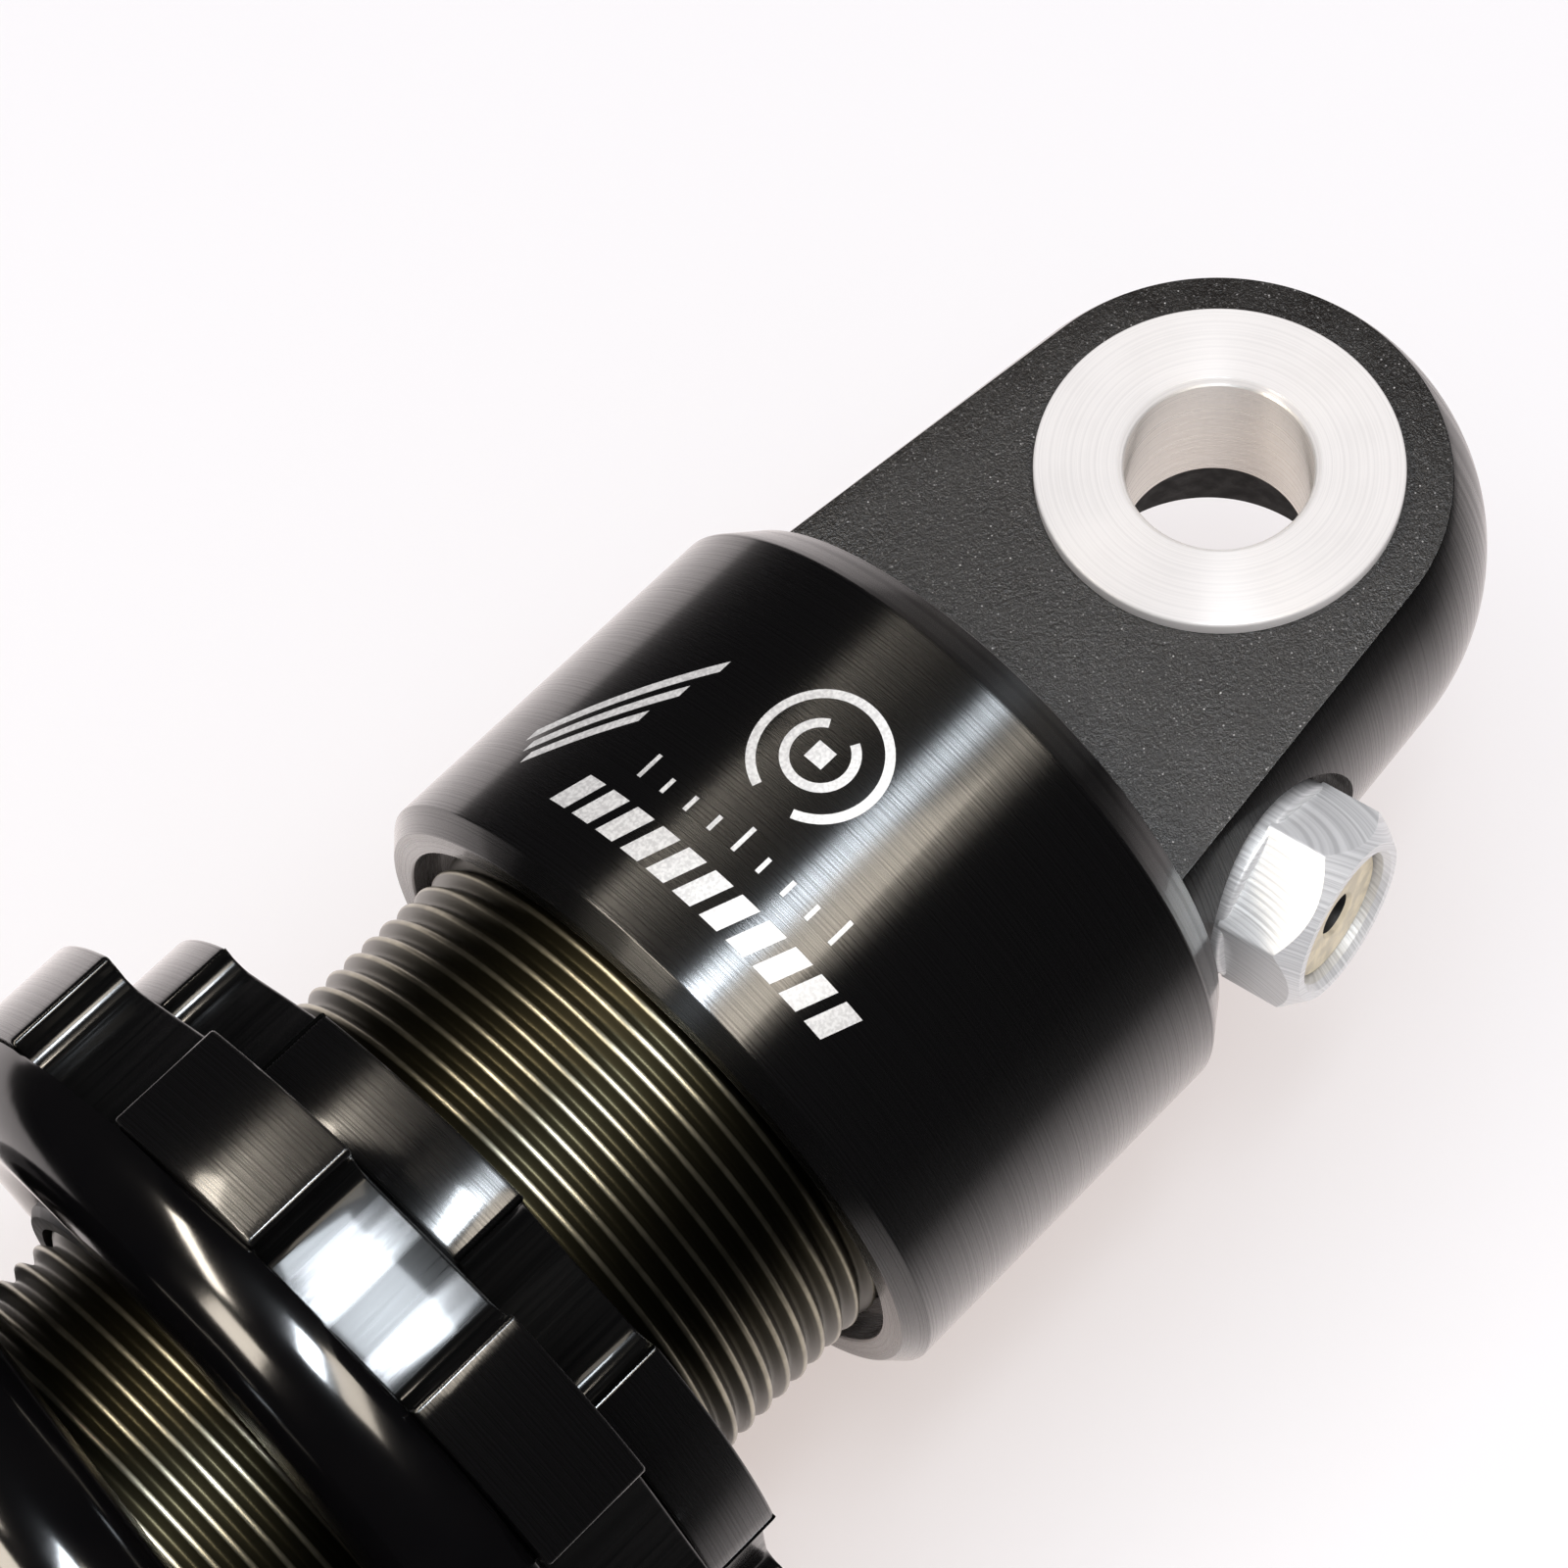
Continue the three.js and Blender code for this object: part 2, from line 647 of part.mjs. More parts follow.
const seatDisc = turned([
  [138.5, 12],
  [138.5, 13.4],
  [138.8, 13.7],
  [SEAT_START, 13.7],
  [SEAT_START, COLLAR_RADIUS - 0.4],
  [SEAT_START + 0.4, COLLAR_RADIUS],
  [SEAT_END - 0.6, COLLAR_RADIUS],
  [SEAT_END, COLLAR_RADIUS - 0.6],
  [SEAT_END, SEAT_BORE],
  [SEAT_START + 0.5, SEAT_BORE],
  [SEAT_START + 0.5, 12],
  [138.5, 12],
], ROUND_LARGE);
const SEAT_SLOT_HALF = 5.3;
const seatSlot = block([xOf(SEAT_END + 1), 0, -SEAT_SLOT_HALF], [xOf(137), 30, SEAT_SLOT_HALF]);
addPiece('lower_spring_seat', cut(seatDisc, [seatSlot]), BLACK_ANODISED);

// ---- Lower eyelet -------------------------------------------------------------------------

const LOWER_SHOULDER = 13.2;
const lowerProfile = [
  ...neckProfile(LOWER_SHOULDER),
  ...arc(LOWER_SHOULDER + 1.2, HEAD_RADIUS - 1.2, 1.2, 180, 90, 3),
  [EYE_TO_EYE - SEAT_END - 0.8, HEAD_RADIUS],
  [EYE_TO_EYE - SEAT_END - 0.05, HEAD_RADIUS - 0.75],
  [EYE_TO_EYE - SEAT_END - 0.05, SEAT_BORE - 0.1],
  [EYE_TO_EYE - 142.5, SEAT_BORE - 0.1],
  [EYE_TO_EYE - 142.5, SHAFT_RADIUS + 0.04],
  [EYE_TO_EYE - 151.8, SHAFT_RADIUS + 0.04],
  [EYE_TO_EYE - 151.8, 0],
].map(([distance, radius]) => [EYE_TO_EYE - distance, radius]);
const WHEEL_SLOT_HALF = 8.4;
const SET_SCREW_STATION = 148.7;
const lowerCutters = [
  ...eyeCutters(xOf(EYE_TO_EYE), 1, LOWER_SHOULDER),
  block([xOf(WHEEL_END + 0.2), -WHEEL_SLOT_HALF, -30], [xOf(WHEEL_START - 0.2), WHEEL_SLOT_HALF, 30]),
  bar([xOf(150), 0, 0], [xOf(154), 0, 0], 1.6, 12),
  bar([xOf(SET_SCREW_STATION), -20, 0], [xOf(SET_SCREW_STATION), -4.5, 0], 2.05, 16),
];
addPiece('lower_eyelet', cut(turned(lowerProfile, ROUND_LARGE), lowerCutters), BLACK_ANODISED);
addEyeHardware('lower', xOf(EYE_TO_EYE), ['top', 'bottom']);

const screwBar = bar([xOf(SET_SCREW_STATION), -13.2, 0], [xOf(SET_SCREW_STATION), -5.2, 0], 1.95, 16);
const screwSocket = bar([xOf(SET_SCREW_STATION), -14, 0], [xOf(SET_SCREW_STATION), -10.8, 0], 1.15, 6);
addPiece('eyelet_set_screw', cut(screwBar, [screwSocket]), STEEL);

// ---- Rebound adjuster ---------------------------------------------------------------------

addPiece('rebound_needle', turned([
  [71.5, 0],
  [74.5, 1.1],
  [75.2, 1.3],
  [WHEEL_END - 0.3, 1.3],
  [WHEEL_END - 0.3, 0],
], 12), STEEL);

const WHEEL_SCALLOPS = 12;
const wheelOutline = new THREE.Shape();
const outlineSteps = WHEEL_SCALLOPS * 6;
for (let i = 0; i < outlineSteps; i += 1) {
  const angle = (i / outlineSteps) * Math.PI * 2;
  const radius = WHEEL_RADIUS - 0.28 + 0.28 * Math.cos(angle * WHEEL_SCALLOPS);
  const [across, up] = [radius * Math.cos(angle), radius * Math.sin(angle)];
  if (i === 0) wheelOutline.moveTo(across, up);
  else wheelOutline.lineTo(across, up);
}
wheelOutline.closePath();
const needleHole = new THREE.Path();
needleHole.absarc(0, 0, 1.45, 0, Math.PI * 2, true);
wheelOutline.holes.push(needleHole);
addPiece('rebound_wheel', pushedAlongX(wheelOutline, WHEEL_START, WHEEL_END, 6), RED_ANODISED);

export default shock;
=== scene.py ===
"""Looks of a coil-over rear shock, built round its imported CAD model.

Sizes are in millimetres and turn into metres as a mesh is made. x runs along the shock towards the upper
eye, and y and z are measured from the shock's axis. A station is a distance from the upper eye towards the
lower eye.
"""

import math

import bmesh
import bpy
import numpy as np
from mathutils import Matrix, Vector


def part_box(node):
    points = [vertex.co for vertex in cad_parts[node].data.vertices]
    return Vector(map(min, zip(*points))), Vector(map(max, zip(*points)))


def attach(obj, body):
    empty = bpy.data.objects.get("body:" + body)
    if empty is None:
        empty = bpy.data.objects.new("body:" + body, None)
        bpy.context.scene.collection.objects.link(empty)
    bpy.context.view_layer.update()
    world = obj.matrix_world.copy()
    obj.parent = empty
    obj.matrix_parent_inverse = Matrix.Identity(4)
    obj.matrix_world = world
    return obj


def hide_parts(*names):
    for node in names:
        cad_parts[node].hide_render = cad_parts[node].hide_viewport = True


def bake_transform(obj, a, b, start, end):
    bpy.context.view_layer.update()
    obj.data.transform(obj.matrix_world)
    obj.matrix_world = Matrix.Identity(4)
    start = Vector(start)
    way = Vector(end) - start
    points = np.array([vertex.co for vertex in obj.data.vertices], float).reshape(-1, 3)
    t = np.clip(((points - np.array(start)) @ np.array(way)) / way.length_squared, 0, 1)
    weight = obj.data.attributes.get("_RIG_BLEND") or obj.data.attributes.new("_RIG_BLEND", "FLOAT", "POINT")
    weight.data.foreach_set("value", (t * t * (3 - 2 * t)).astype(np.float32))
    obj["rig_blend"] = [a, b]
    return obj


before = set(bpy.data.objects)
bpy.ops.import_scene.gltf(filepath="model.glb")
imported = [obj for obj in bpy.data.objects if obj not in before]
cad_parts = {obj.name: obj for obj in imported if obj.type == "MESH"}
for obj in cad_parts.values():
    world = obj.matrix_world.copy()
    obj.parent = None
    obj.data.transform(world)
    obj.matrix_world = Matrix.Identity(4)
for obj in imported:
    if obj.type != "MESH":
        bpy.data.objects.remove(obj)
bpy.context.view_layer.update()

MM = 0.001
scene = bpy.context.scene

# ---- Where the CAD puts things ---------------------------


def middle_of(node):
    low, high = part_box(node)
    return (low + high) / 2 / MM


EYE_X = middle_of("upper_spacer_top").x
LOWER_EYE_X = middle_of("lower_spacer_top").x
AXIS_Z = middle_of("damper_tube").z
EYE_TO_EYE = EYE_X - LOWER_EYE_X

# ---- Dimensions ------------------------------------------

FINE = 192  # segments round the tube, head and collars
ROUND = 128  # segments round smaller turned pieces
BARREL_SEGMENTS = 256  # segments round both eyes' barrels
SPACER_SEGMENTS = 160  # segments round the spacers and bushes
EDGE_ROWS = 4  # outlines that draw a rounded edge

EYE_DOME = 11.7
NECK_TAPER = 0.093  # radius gained per millimetre away from the eye
NECK_AT_EYE = EYE_DOME * math.sqrt(1 + NECK_TAPER**2)
FLAT_HALF = 6.4
FLAT_EDGE = 0.03
EYE_BORE = 7.52
EYE_CUT = 12  # half the length of the cut for the eye's bore

HEAD_RADIUS = 15.4
SHOULDER = 15.7
HEAD_END = 35.2
TUBE_RADIUS = 12.5
TUBE_BORE = 10.0
TUBE_START, TUBE_END = 22.0, 96.0
THREAD_PITCH = 1.0
THREAD_START, THREAD_END = 26.4, 94.6

COLLAR_BORE = 12.75

SPRING_START, SPRING_END = 53.4, 141.9
WIRE_RADIUS = 3.1
COIL_RADIUS = 17.2
SPRING_TURNS = 7.77
CLOSED_PITCH = 6.35
TIP_SINK = 1.55
SPRING_TIP_ANGLE = math.radians(-40)

# ---- Building meshes -------------------------------------


class Place:
    """Where a turned profile stands: its origin, its own axis, and the two directions across it."""

    def __init__(self, origin, along, across, up):
        vectors = (origin, along, across, up)
        self.origin, self.along, self.across, self.up = (np.array(v, float) for v in vectors)

    def points(self, along, across, up):
        return (
            self.origin
            + np.multiply.outer(np.asarray(along, float), self.along)
            + np.multiply.outer(np.asarray(across, float), self.across)
            + np.multiply.outer(np.asarray(up, float), self.up)
        )


SHOCK = Place((EYE_X, 0, 0), (-1, 0, 0), (0, 1, 0), (0, 0, 1))
FROM_LOWER = Place((LOWER_EYE_X, 0, 0), (1, 0, 0), (0, 1, 0), (0, 0, 1))


def upright(x, side=1):
    return Place((x, 0, 0), (0, 0, side), (1, 0, 0), (0, 1, 0))


def grid(rows, columns, close_rows, close_columns=True, offset=0):
    """Quads over a grid of points held row by row."""
    faces = []
    for i in range(rows if close_rows else rows - 1):
        for j in range(columns if close_columns else columns - 1):
            a, b = i % rows, (i + 1) % rows
            c, d = j % columns, (j + 1) % columns
            corners = (a * columns + c, a * columns + d, b * columns + d, b * columns + c)
            faces.append(tuple(offset + n for n in corners))
    return faces


def rounded(corners, steps=4):
    """A closed profile of corners (along, radius) or (along, radius, fillet), its fillets drawn as arcs."""
    outline = []
    for i, corner in enumerate(corners):
        here = np.array(corner[:2], float)
        fillet = corner[2] if len(corner) > 2 else 0
        if not fillet:
            outline.append(here)
            continue
        before = np.array(corners[i - 1][:2], float) - here
        after = np.array(corners[(i + 1) % len(corners)][:2], float) - here
        before /= np.linalg.norm(before)
        after /= np.linalg.norm(after)
        half = math.acos(float(np.clip(before @ after, -1, 1))) / 2
        bisector = (before + after) / np.linalg.norm(before + after)
        centre = here + bisector * fillet / math.sin(half)
        first = here + before * fillet / math.tan(half) - centre
        last = here + after * fillet / math.tan(half) - centre
        turn = math.pi - 2 * half
        for k in range(steps + 1):
            share = k / steps
            swept = math.sin((1 - share) * turn) * first + math.sin(share * turn) * last
            outline.append(centre + swept / math.sin(turn))
    return [tuple(p) for p in outline]


def lathe(profile, place=SHOCK, segments=FINE):
    """Points and faces of a closed profile of (along, radius) turned about its place's axis."""
    angle = np.arange(segments) / segments * 2 * math.pi
    rows = [
        place.points(np.full(segments, along), radius * np.cos(angle), radius * np.sin(angle))
        for along, radius in profile
    ]
    return np.concatenate(rows), grid(len(profile), segments, True)


def clean(mesh, distance=1e-7, outward=False):
    """Joins points that close, in metres, drops faces with no area, and can turn normals outward."""
    work = bmesh.new()
    work.from_mesh(mesh)
    bmesh.ops.remove_doubles(work, verts=work.verts, dist=distance)
    bmesh.ops.dissolve_degenerate(work, edges=work.edges, dist=1e-7)
    if outward:
        bmesh.ops.recalc_face_normals(work, faces=work.faces)
    work.to_mesh(mesh)
    work.free()


def add_object(name, data):
    item = bpy.data.objects.new(name, data)
    scene.collection.objects.link(item)
    return item


def make_piece(name, shape, *materials, sharp=30):
    """A mesh object in metres, shaded smooth but for edges sharper than the given angle in degrees."""
    points, faces = shape
    points = np.array(points, float)
    points[:, 2] += AXIS_Z
    mesh = bpy.data.meshes.new(name)
    mesh.from_pydata((points * MM).tolist(), [], faces)
    clean(mesh, 2e-7, outward=True)
    for material in materials:
        mesh.materials.append(material)
    piece = add_object(name, mesh)
    shade(piece, sharp)
    return piece


def shade(piece, sharp=30):
    piece.data.shade_smooth()
    piece.data.set_sharp_from_angle(angle=math.radians(sharp))


def set_materials(piece, *materials):
    """Gives a piece these materials, with all of it in the first."""
    piece.data.materials.clear()
    for material in materials:
        piece.data.materials.append(material)
    for polygon in piece.data.polygons:
        polygon.material_index = 0


def combine(target, shapes, operation):
    """The target after an exact boolean with each shape in turn."""
    for shape in shapes:
        tool = shape if isinstance(shape, bpy.types.Object) else make_piece("tool", shape)
        modifier = target.modifiers.new("combine", "BOOLEAN")
        modifier.operation = operation
        modifier.solver = "EXACT"
        modifier.object = tool
        graph = bpy.context.evaluated_depsgraph_get()
        result = bpy.data.meshes.new_from_object(target.evaluated_get(graph))
        target.modifiers.clear()
        spent = [target.data, tool.data]
        target.data = result
        bpy.data.objects.remove(tool)
        for mesh in spent:
            bpy.data.meshes.remove(mesh)
    clean(target.data)
    target.data.name = target.name
    shade(target)
    return target


def box_shape(low, high):
    (x0, y0, z0), (x1, y1, z1) = low, high
    points = [(x, y, z) for x in (x0, x1) for y in (y0, y1) for z in (z0, z1)]
    faces = [(0, 1, 3, 2), (4, 6, 7, 5), (0, 4, 5, 1), (2, 3, 7, 6), (0, 2, 6, 4), (1, 5, 7, 3)]
    return np.array(points, float), faces


def rod(place, start, end, radius, segments=48):
    return lathe([(start, 0), (start, radius), (end, radius), (end, 0)], place, segments)


def on_body(piece, body, slot, *nodes):
    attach(piece, body)
    if nodes:
        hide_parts(*nodes)
    return piece


# ---- Materials -------------------------------------------


class Finish:
    """A material built of nodes round one Principled shader."""

    def __init__(self, name, **sockets):
        self.material = bpy.data.materials.new(name)
        self.material.use_nodes = True
        self.tree = self.material.node_tree
        self.shader = self.tree.nodes["Principled BSDF"]
        for key, value in sockets.items():
            self.set(key.replace("_", " ").capitalize(), value)

    def set(self, key, value):
        names = {s.name.lower(): s for s in self.shader.inputs}
        self.feed(names[key.lower()], value)

    def feed(self, socket, value):
        if isinstance(value, bpy.types.NodeSocket):
            self.tree.links.new(value, socket)
        else:
            socket.default_value = value

    def add(self, kind, inputs=(), output=0, **settings):
        node = self.tree.nodes.new("ShaderNode" + kind)
        for key, value in settings.items():
            setattr(node, key, value)
        for key, value in dict(inputs).items():
            self.feed(node.inputs[key], value)
        return node.outputs[output]

    def math(self, operation, a, b=0.0):
        return self.add("Math", {0: a, 1: b}, operation=operation)

    def vector(self, operation, a, b=(0, 0, 0), output=0):
        return self.add("VectorMath", {0: a, 1: b}, output, operation=operation)

    def ramp(self, value, low, high, start=0.0, end=1.0):
        """Where value is from low to high, a smooth step from start to end."""
        return self.add(
            "MapRange", {0: value, 1: low, 2: high, 3: start, 4: end}, interpolation_type="SMOOTHSTEP"
        )

    def mix(self, share, first, second):
        return self.add("MixRGB", {0: share, 1: first, 2: second})

    def here(self, centre=(0, 0, 0)):
        """The surface point in millimetres from a centre given in millimetres about the shock's axis."""
        shift = tuple(-c * MM for c in (centre[0], centre[1], centre[2] + AXIS_Z))
        moved = self.vector("ADD", self.add("TexCoord", output=3), shift)
        return self.add("VectorMath", {0: moved, 3: 1 / MM}, operation="SCALE")

    def noise(self, vector, scale, detail=2.0, roughness=0.5):
        return self.add(
            "TexNoise", {"Vector": vector, "Scale": scale, "Detail": detail, "Roughness": roughness}
        )

    def noise_1d(self, value, scale, detail=2.0):
        return self.add("TexNoise", {"W": value, "Scale": scale, "Detail": detail}, noise_dimensions="1D")

    def bump(self, height, distance):
        """distance in millimetres for a height of one."""
        return self.add("Bump", {"Height": height, "Distance": distance * MM, "Strength": 1.0})

    def world_vector(self, vector):
        return self.add(
            "VectorTransform", {0: vector}, vector_type="VECTOR", convert_from="OBJECT", convert_to="WORLD"
        )


def turning(finish, point, axis):
    """How far along a profile turned about the X or Z axis a point is, and which way the tool went round."""
    parts = finish.tree.nodes.new("ShaderNodeSeparateXYZ")
    finish.feed(parts.inputs[0], point)
    if axis == "X":
        along, direction, across = parts.outputs[0], (1, 0, 0), (0, 1, 1)
    else:
        along, direction, across = parts.outputs[2], (0, 0, 1), (1, 1, 0)
    radius = finish.vector("LENGTH", finish.vector("MULTIPLY", point, across), output=1)
    around = finish.world_vector(finish.vector("CROSS_PRODUCT", point, direction))
    return finish.math("ADD", along, radius), around


def specks(finish, point, amount=0.72, scale=1.6):
    """A mask of a few specks of dust, which the callers make glow as painted light."""
    cells = finish.add("TexVoronoi", {"Vector": point, "Scale": scale, "Randomness": 1.0}, feature="F1")
    near = finish.ramp(cells, 0.035, 0.02)
    some = finish.ramp(finish.noise(point, 0.35, 1.0), amount, amount + 0.02)
    return finish.math("MULTIPLY", near, some)


def black_anodised(name, pitch=0.2, depth=0.0005, colour=(0.0032, 0.003, 0.003)):
    """Gloss anodising, black unless told otherwise, over a finely turned surface."""
    f = Finish(name, metallic=0.0, ior=1.44, anisotropic=1.0, anisotropic_rotation=0.25)
    f.set("Coat Weight", 0.3)
    f.set("Coat Roughness", 0.1)
    point = f.here()
    u, around = turning(f, point, "X")
    regular = f.math("SINE", f.math("MULTIPLY", u, 2 * math.pi / pitch))
    random_lines = f.noise_1d(u, 11.0, 2.0)
    height = f.math("ADD", f.math("MULTIPLY", regular, 0.5), random_lines)
    lighter = tuple(c * 1.4 for c in colour) + (1,)
    f.set("Base Color", f.mix(f.ramp(random_lines, 0.3, 0.7), tuple(colour) + (1,), lighter))
    f.set("Roughness", f.ramp(random_lines, 0.3, 0.7, 0.29, 0.25))
    f.set("Specular IOR Level", f.ramp(random_lines, 0.35, 0.65, 0.36, 0.62))
    f.set("Normal", f.bump(height, depth))
    f.set("Tangent", around)
    dust_and_glow = specks(f, point)
    # The dust specks glow faintly: real dust with painted light on it.
    f.set("Emission Color", (1, 0.97, 0.93, 1))
    f.set("Emission Strength", f.math("MULTIPLY", dust_and_glow, 0.25))
    return f.material


def milled_black(name):
    """Gloss black anodising over cuts that run along the shock."""
    f = Finish(name, metallic=0.0, ior=1.6, anisotropic=0.8)
    f.set("Coat Weight", 0.12)
    f.set("Coat Roughness", 0.08)
    point = f.here()
    flat = f.vector("MULTIPLY", point, (0, 1, 1))
    along = f.vector("CROSS_PRODUCT", flat, f.vector("CROSS_PRODUCT", point, (1, 0, 0)))
    across = f.vector("MULTIPLY", point, (0.02, 1, 1))
    cuts = f.noise(across, 4.5, 3.0, 0.6)
    f.set("Base Color", f.mix(f.ramp(cuts, 0.3, 0.7), (0.003, 0.003, 0.003, 1), (0.006, 0.0058, 0.0055, 1)))
    f.set("Roughness", f.ramp(cuts, 0.35, 0.65, 0.2, 0.27))
    f.set("Specular IOR Level", f.ramp(f.noise(across, 0.6, 2.0, 0.5), 0.38, 0.6, 0.04, 0.3))
    f.set("Normal", f.bump(cuts, 0.0014))
    f.set("Tangent", f.world_vector(along))
    return f.material


def blasted_black(name):
    """Bead-blasted black anodising: a fine grain, with painted glints of light scattered through its colour.
    """
    f = Finish(name, metallic=0.0, ior=1.5)
    f.set("Specular IOR Level", 0.42)
    point = f.here()
    grain = f.noise(point, 5.4, 3.0, 0.75)
    # Scattered pale cells in the colour are painted glints, the light caught by blasted facets.
    painted_glints = 0.0
    for scale, reach, share in ((3.0, 0.16, 0.9), (5.2, 0.3, 0.22), (8.0, 0.4, 0.1)):
        cells = f.tree.nodes.new("ShaderNodeTexVoronoi")
        f.feed(cells.inputs["Vector"], point)
        f.feed(cells.inputs["Scale"], scale)
        near = f.ramp(cells.outputs["Distance"], reach, reach * 0.4)
        lit = f.ramp(f.vector("LENGTH", cells.outputs["Color"], output=1), 0.6, 1.4)
        painted_glints = f.math("ADD", painted_glints, f.math("MULTIPLY", f.math("MULTIPLY", near, lit), share))
    f.set("Base Color", f.mix(painted_glints, (0.0085, 0.0048, 0.0032, 1), (0.70, 0.67, 0.64, 1)))
    f.set("Roughness", f.ramp(f.noise(point, 0.5, 3.0), 0.3, 0.7, 0.52, 0.44))
    f.set("Normal", f.bump(grain, 0.062))
    return f.material


def bright_turned(name, centre, axis="Z", bore=0.0):
    """Bright machined aluminium with fine concentric tool marks, shinier inside a bore of that radius."""
    pitch, tint = 0.16, (0.905, 0.868, 0.82)
    f = Finish(name, anisotropic=0.9, anisotropic_rotation=0.25)
    f.set("Specular IOR Level", 0.1)
    point = f.here(centre)
    radius = f.vector("LENGTH", f.vector("MULTIPLY", point, (1, 1, 0)), output=1)
    f.set("Metallic", f.ramp(radius, bore + 0.05, bore + 0.12, 0.5, 0.03))
    u, around = turning(f, point, axis)
    lines = f.noise_1d(u, 8.0, 3.0)
    regular = f.math("SINE", f.math("MULTIPLY", u, 2 * math.pi / pitch))
    height = f.math("ADD", lines, f.math("MULTIPLY", regular, 0.4))
    stain = f.noise(point, 0.4, 3.0)
    shade_of = f.math("ADD", f.math("MULTIPLY", stain, 0.25), f.math("MULTIPLY", lines, 0.75))
    darker = tuple(c * 0.91 for c in tint) + (1,)
    f.set("Base Color", f.mix(f.ramp(shade_of, 0.4, 0.62), tuple(tint) + (1,), darker))
    f.set("Roughness", f.ramp(lines, 0.3, 0.7, 0.27, 0.34))
    f.set("Normal", f.bump(height, 0.0008))
    f.set("Tangent", around)
    return f.material


def milled_aluminium(name, centre):
    """Bright aluminium with the arcs of a face mill."""
    f = Finish(name, metallic=0.25)
    point = f.here(centre)
    arcs = f.vector("LENGTH", f.vector("ADD", point, (7.0, 2.0, 5.0)), output=1)
    ridges = f.math("SINE", f.math("MULTIPLY", arcs, 2 * math.pi / 0.26))
    rough = f.noise_1d(arcs, 9.0, 2.0)
    f.set("Base Color", f.mix(f.ramp(rough, 0.35, 0.65), (0.62, 0.62, 0.615, 1), (0.78, 0.78, 0.775, 1)))
    f.set("Roughness", f.ramp(rough, 0.3, 0.7, 0.42, 0.56))
    f.set("Normal", f.bump(f.math("ADD", f.math("MULTIPLY", ridges, 0.9), rough), 0.0028))
    return f.material


def thread_anodised(name):
    """Dark bronze anodising on a cut thread, its crests painted paler as a highlight, patchy by a noise."""
    f = Finish(name, metallic=1.0, anisotropic=0.75, anisotropic_rotation=0.25)
    point = f.here()
    radius = f.vector("LENGTH", f.vector("MULTIPLY", point, (0, 1, 1)), output=1)
    crest_patchiness = f.noise(point, 0.5, 3.0, 0.6)
    # The crests are painted pale, a painted highlight; a noise makes it patchy.
    crest = f.ramp(radius, TUBE_RADIUS - 0.09, TUBE_RADIUS - 0.01)
    painted_crest_highlight = f.math("MULTIPLY", crest, f.ramp(crest_patchiness, 0.3, 0.7, 0.55, 1.0))
    f.set("Base Color", f.mix(painted_crest_highlight, (0.036, 0.032, 0.019, 1), (0.34, 0.315, 0.24, 1)))
    f.set("Roughness", f.ramp(radius, TUBE_RADIUS - 0.3, TUBE_RADIUS - 0.03, 0.42, 0.38))
    f.set("Tangent", turning(f, point, "X")[1])
    return f.material


def gloss_paint(name):
    """Deep gloss black paint with a faint orange peel."""
    f = Finish(name, ior=1.46)
    point = f.here()
    peel = f.noise(point, 0.9, 2.0)
    mottle = f.noise(point, 0.3, 2.0)
    f.set("Base Color", f.mix(mottle, (0.0015, 0.0015, 0.002, 1), (0.004, 0.0035, 0.0035, 1)))
    f.set("Roughness", f.ramp(f.noise(point, 0.25, 3.0), 0.3, 0.7, 0.11, 0.15))
    f.set("Normal", f.bump(peel, 0.003))
    dust_and_glow = specks(f, point, 0.66, 1.3)
    # The dust specks glow faintly: real dust with painted light on it.
    f.set("Emission Color", (1, 1, 1, 1))
    f.set("Emission Strength", f.math("MULTIPLY", dust_and_glow, 0.3))
    return f.material


def rubber(name, colour, scale, depth, roughness):
    """A mottled matt surface, for rubbers and plastics."""
    f = Finish(name)
    point = f.here()
    mottle = f.noise(point, scale, 4.0)
    dark = tuple(c * 0.72 for c in colour) + (1,)
    f.set("Base Color", f.mix(f.ramp(mottle, 0.35, 0.65), dark, tuple(colour) + (1,)))
    f.set("Roughness", f.ramp(mottle, 0.3, 0.7, roughness - 0.08, roughness + 0.1))
    f.set("Normal", f.bump(f.noise(point, scale * 4, 3.0), depth))
    return f.material


def plain_metal(name, colour, roughness, depth=0.0015):
    """Bare metal, turned about the shock's axis."""
    f = Finish(name, metallic=1.0)
    lines = f.noise_1d(turning(f, f.here(), "X")[0], 5.0, 4.0)
    f.set("Base Color", f.mix(lines, tuple(c * 0.85 for c in colour) + (1,), tuple(colour) + (1,)))
    f.set("Roughness", f.ramp(lines, 0.3, 0.7, roughness * 0.8, roughness * 1.2))
    f.set("Normal", f.bump(lines, depth))
    return f.material


def etched(name):
    """The pale bare metal left where anodising has been lasered off."""
    f = Finish(name, metallic=0.2)
    point = f.here()
    fleck = f.noise(point, 7.0, 3.0)
    f.set("Base Color", f.mix(f.ramp(fleck, 0.35, 0.65), (0.50, 0.49, 0.475, 1), (0.66, 0.65, 0.63, 1)))
    f.set("Roughness", f.ramp(fleck, 0.3, 0.7, 0.5, 0.65))
    f.set("Normal", f.bump(fleck, 0.004))
    return f.material


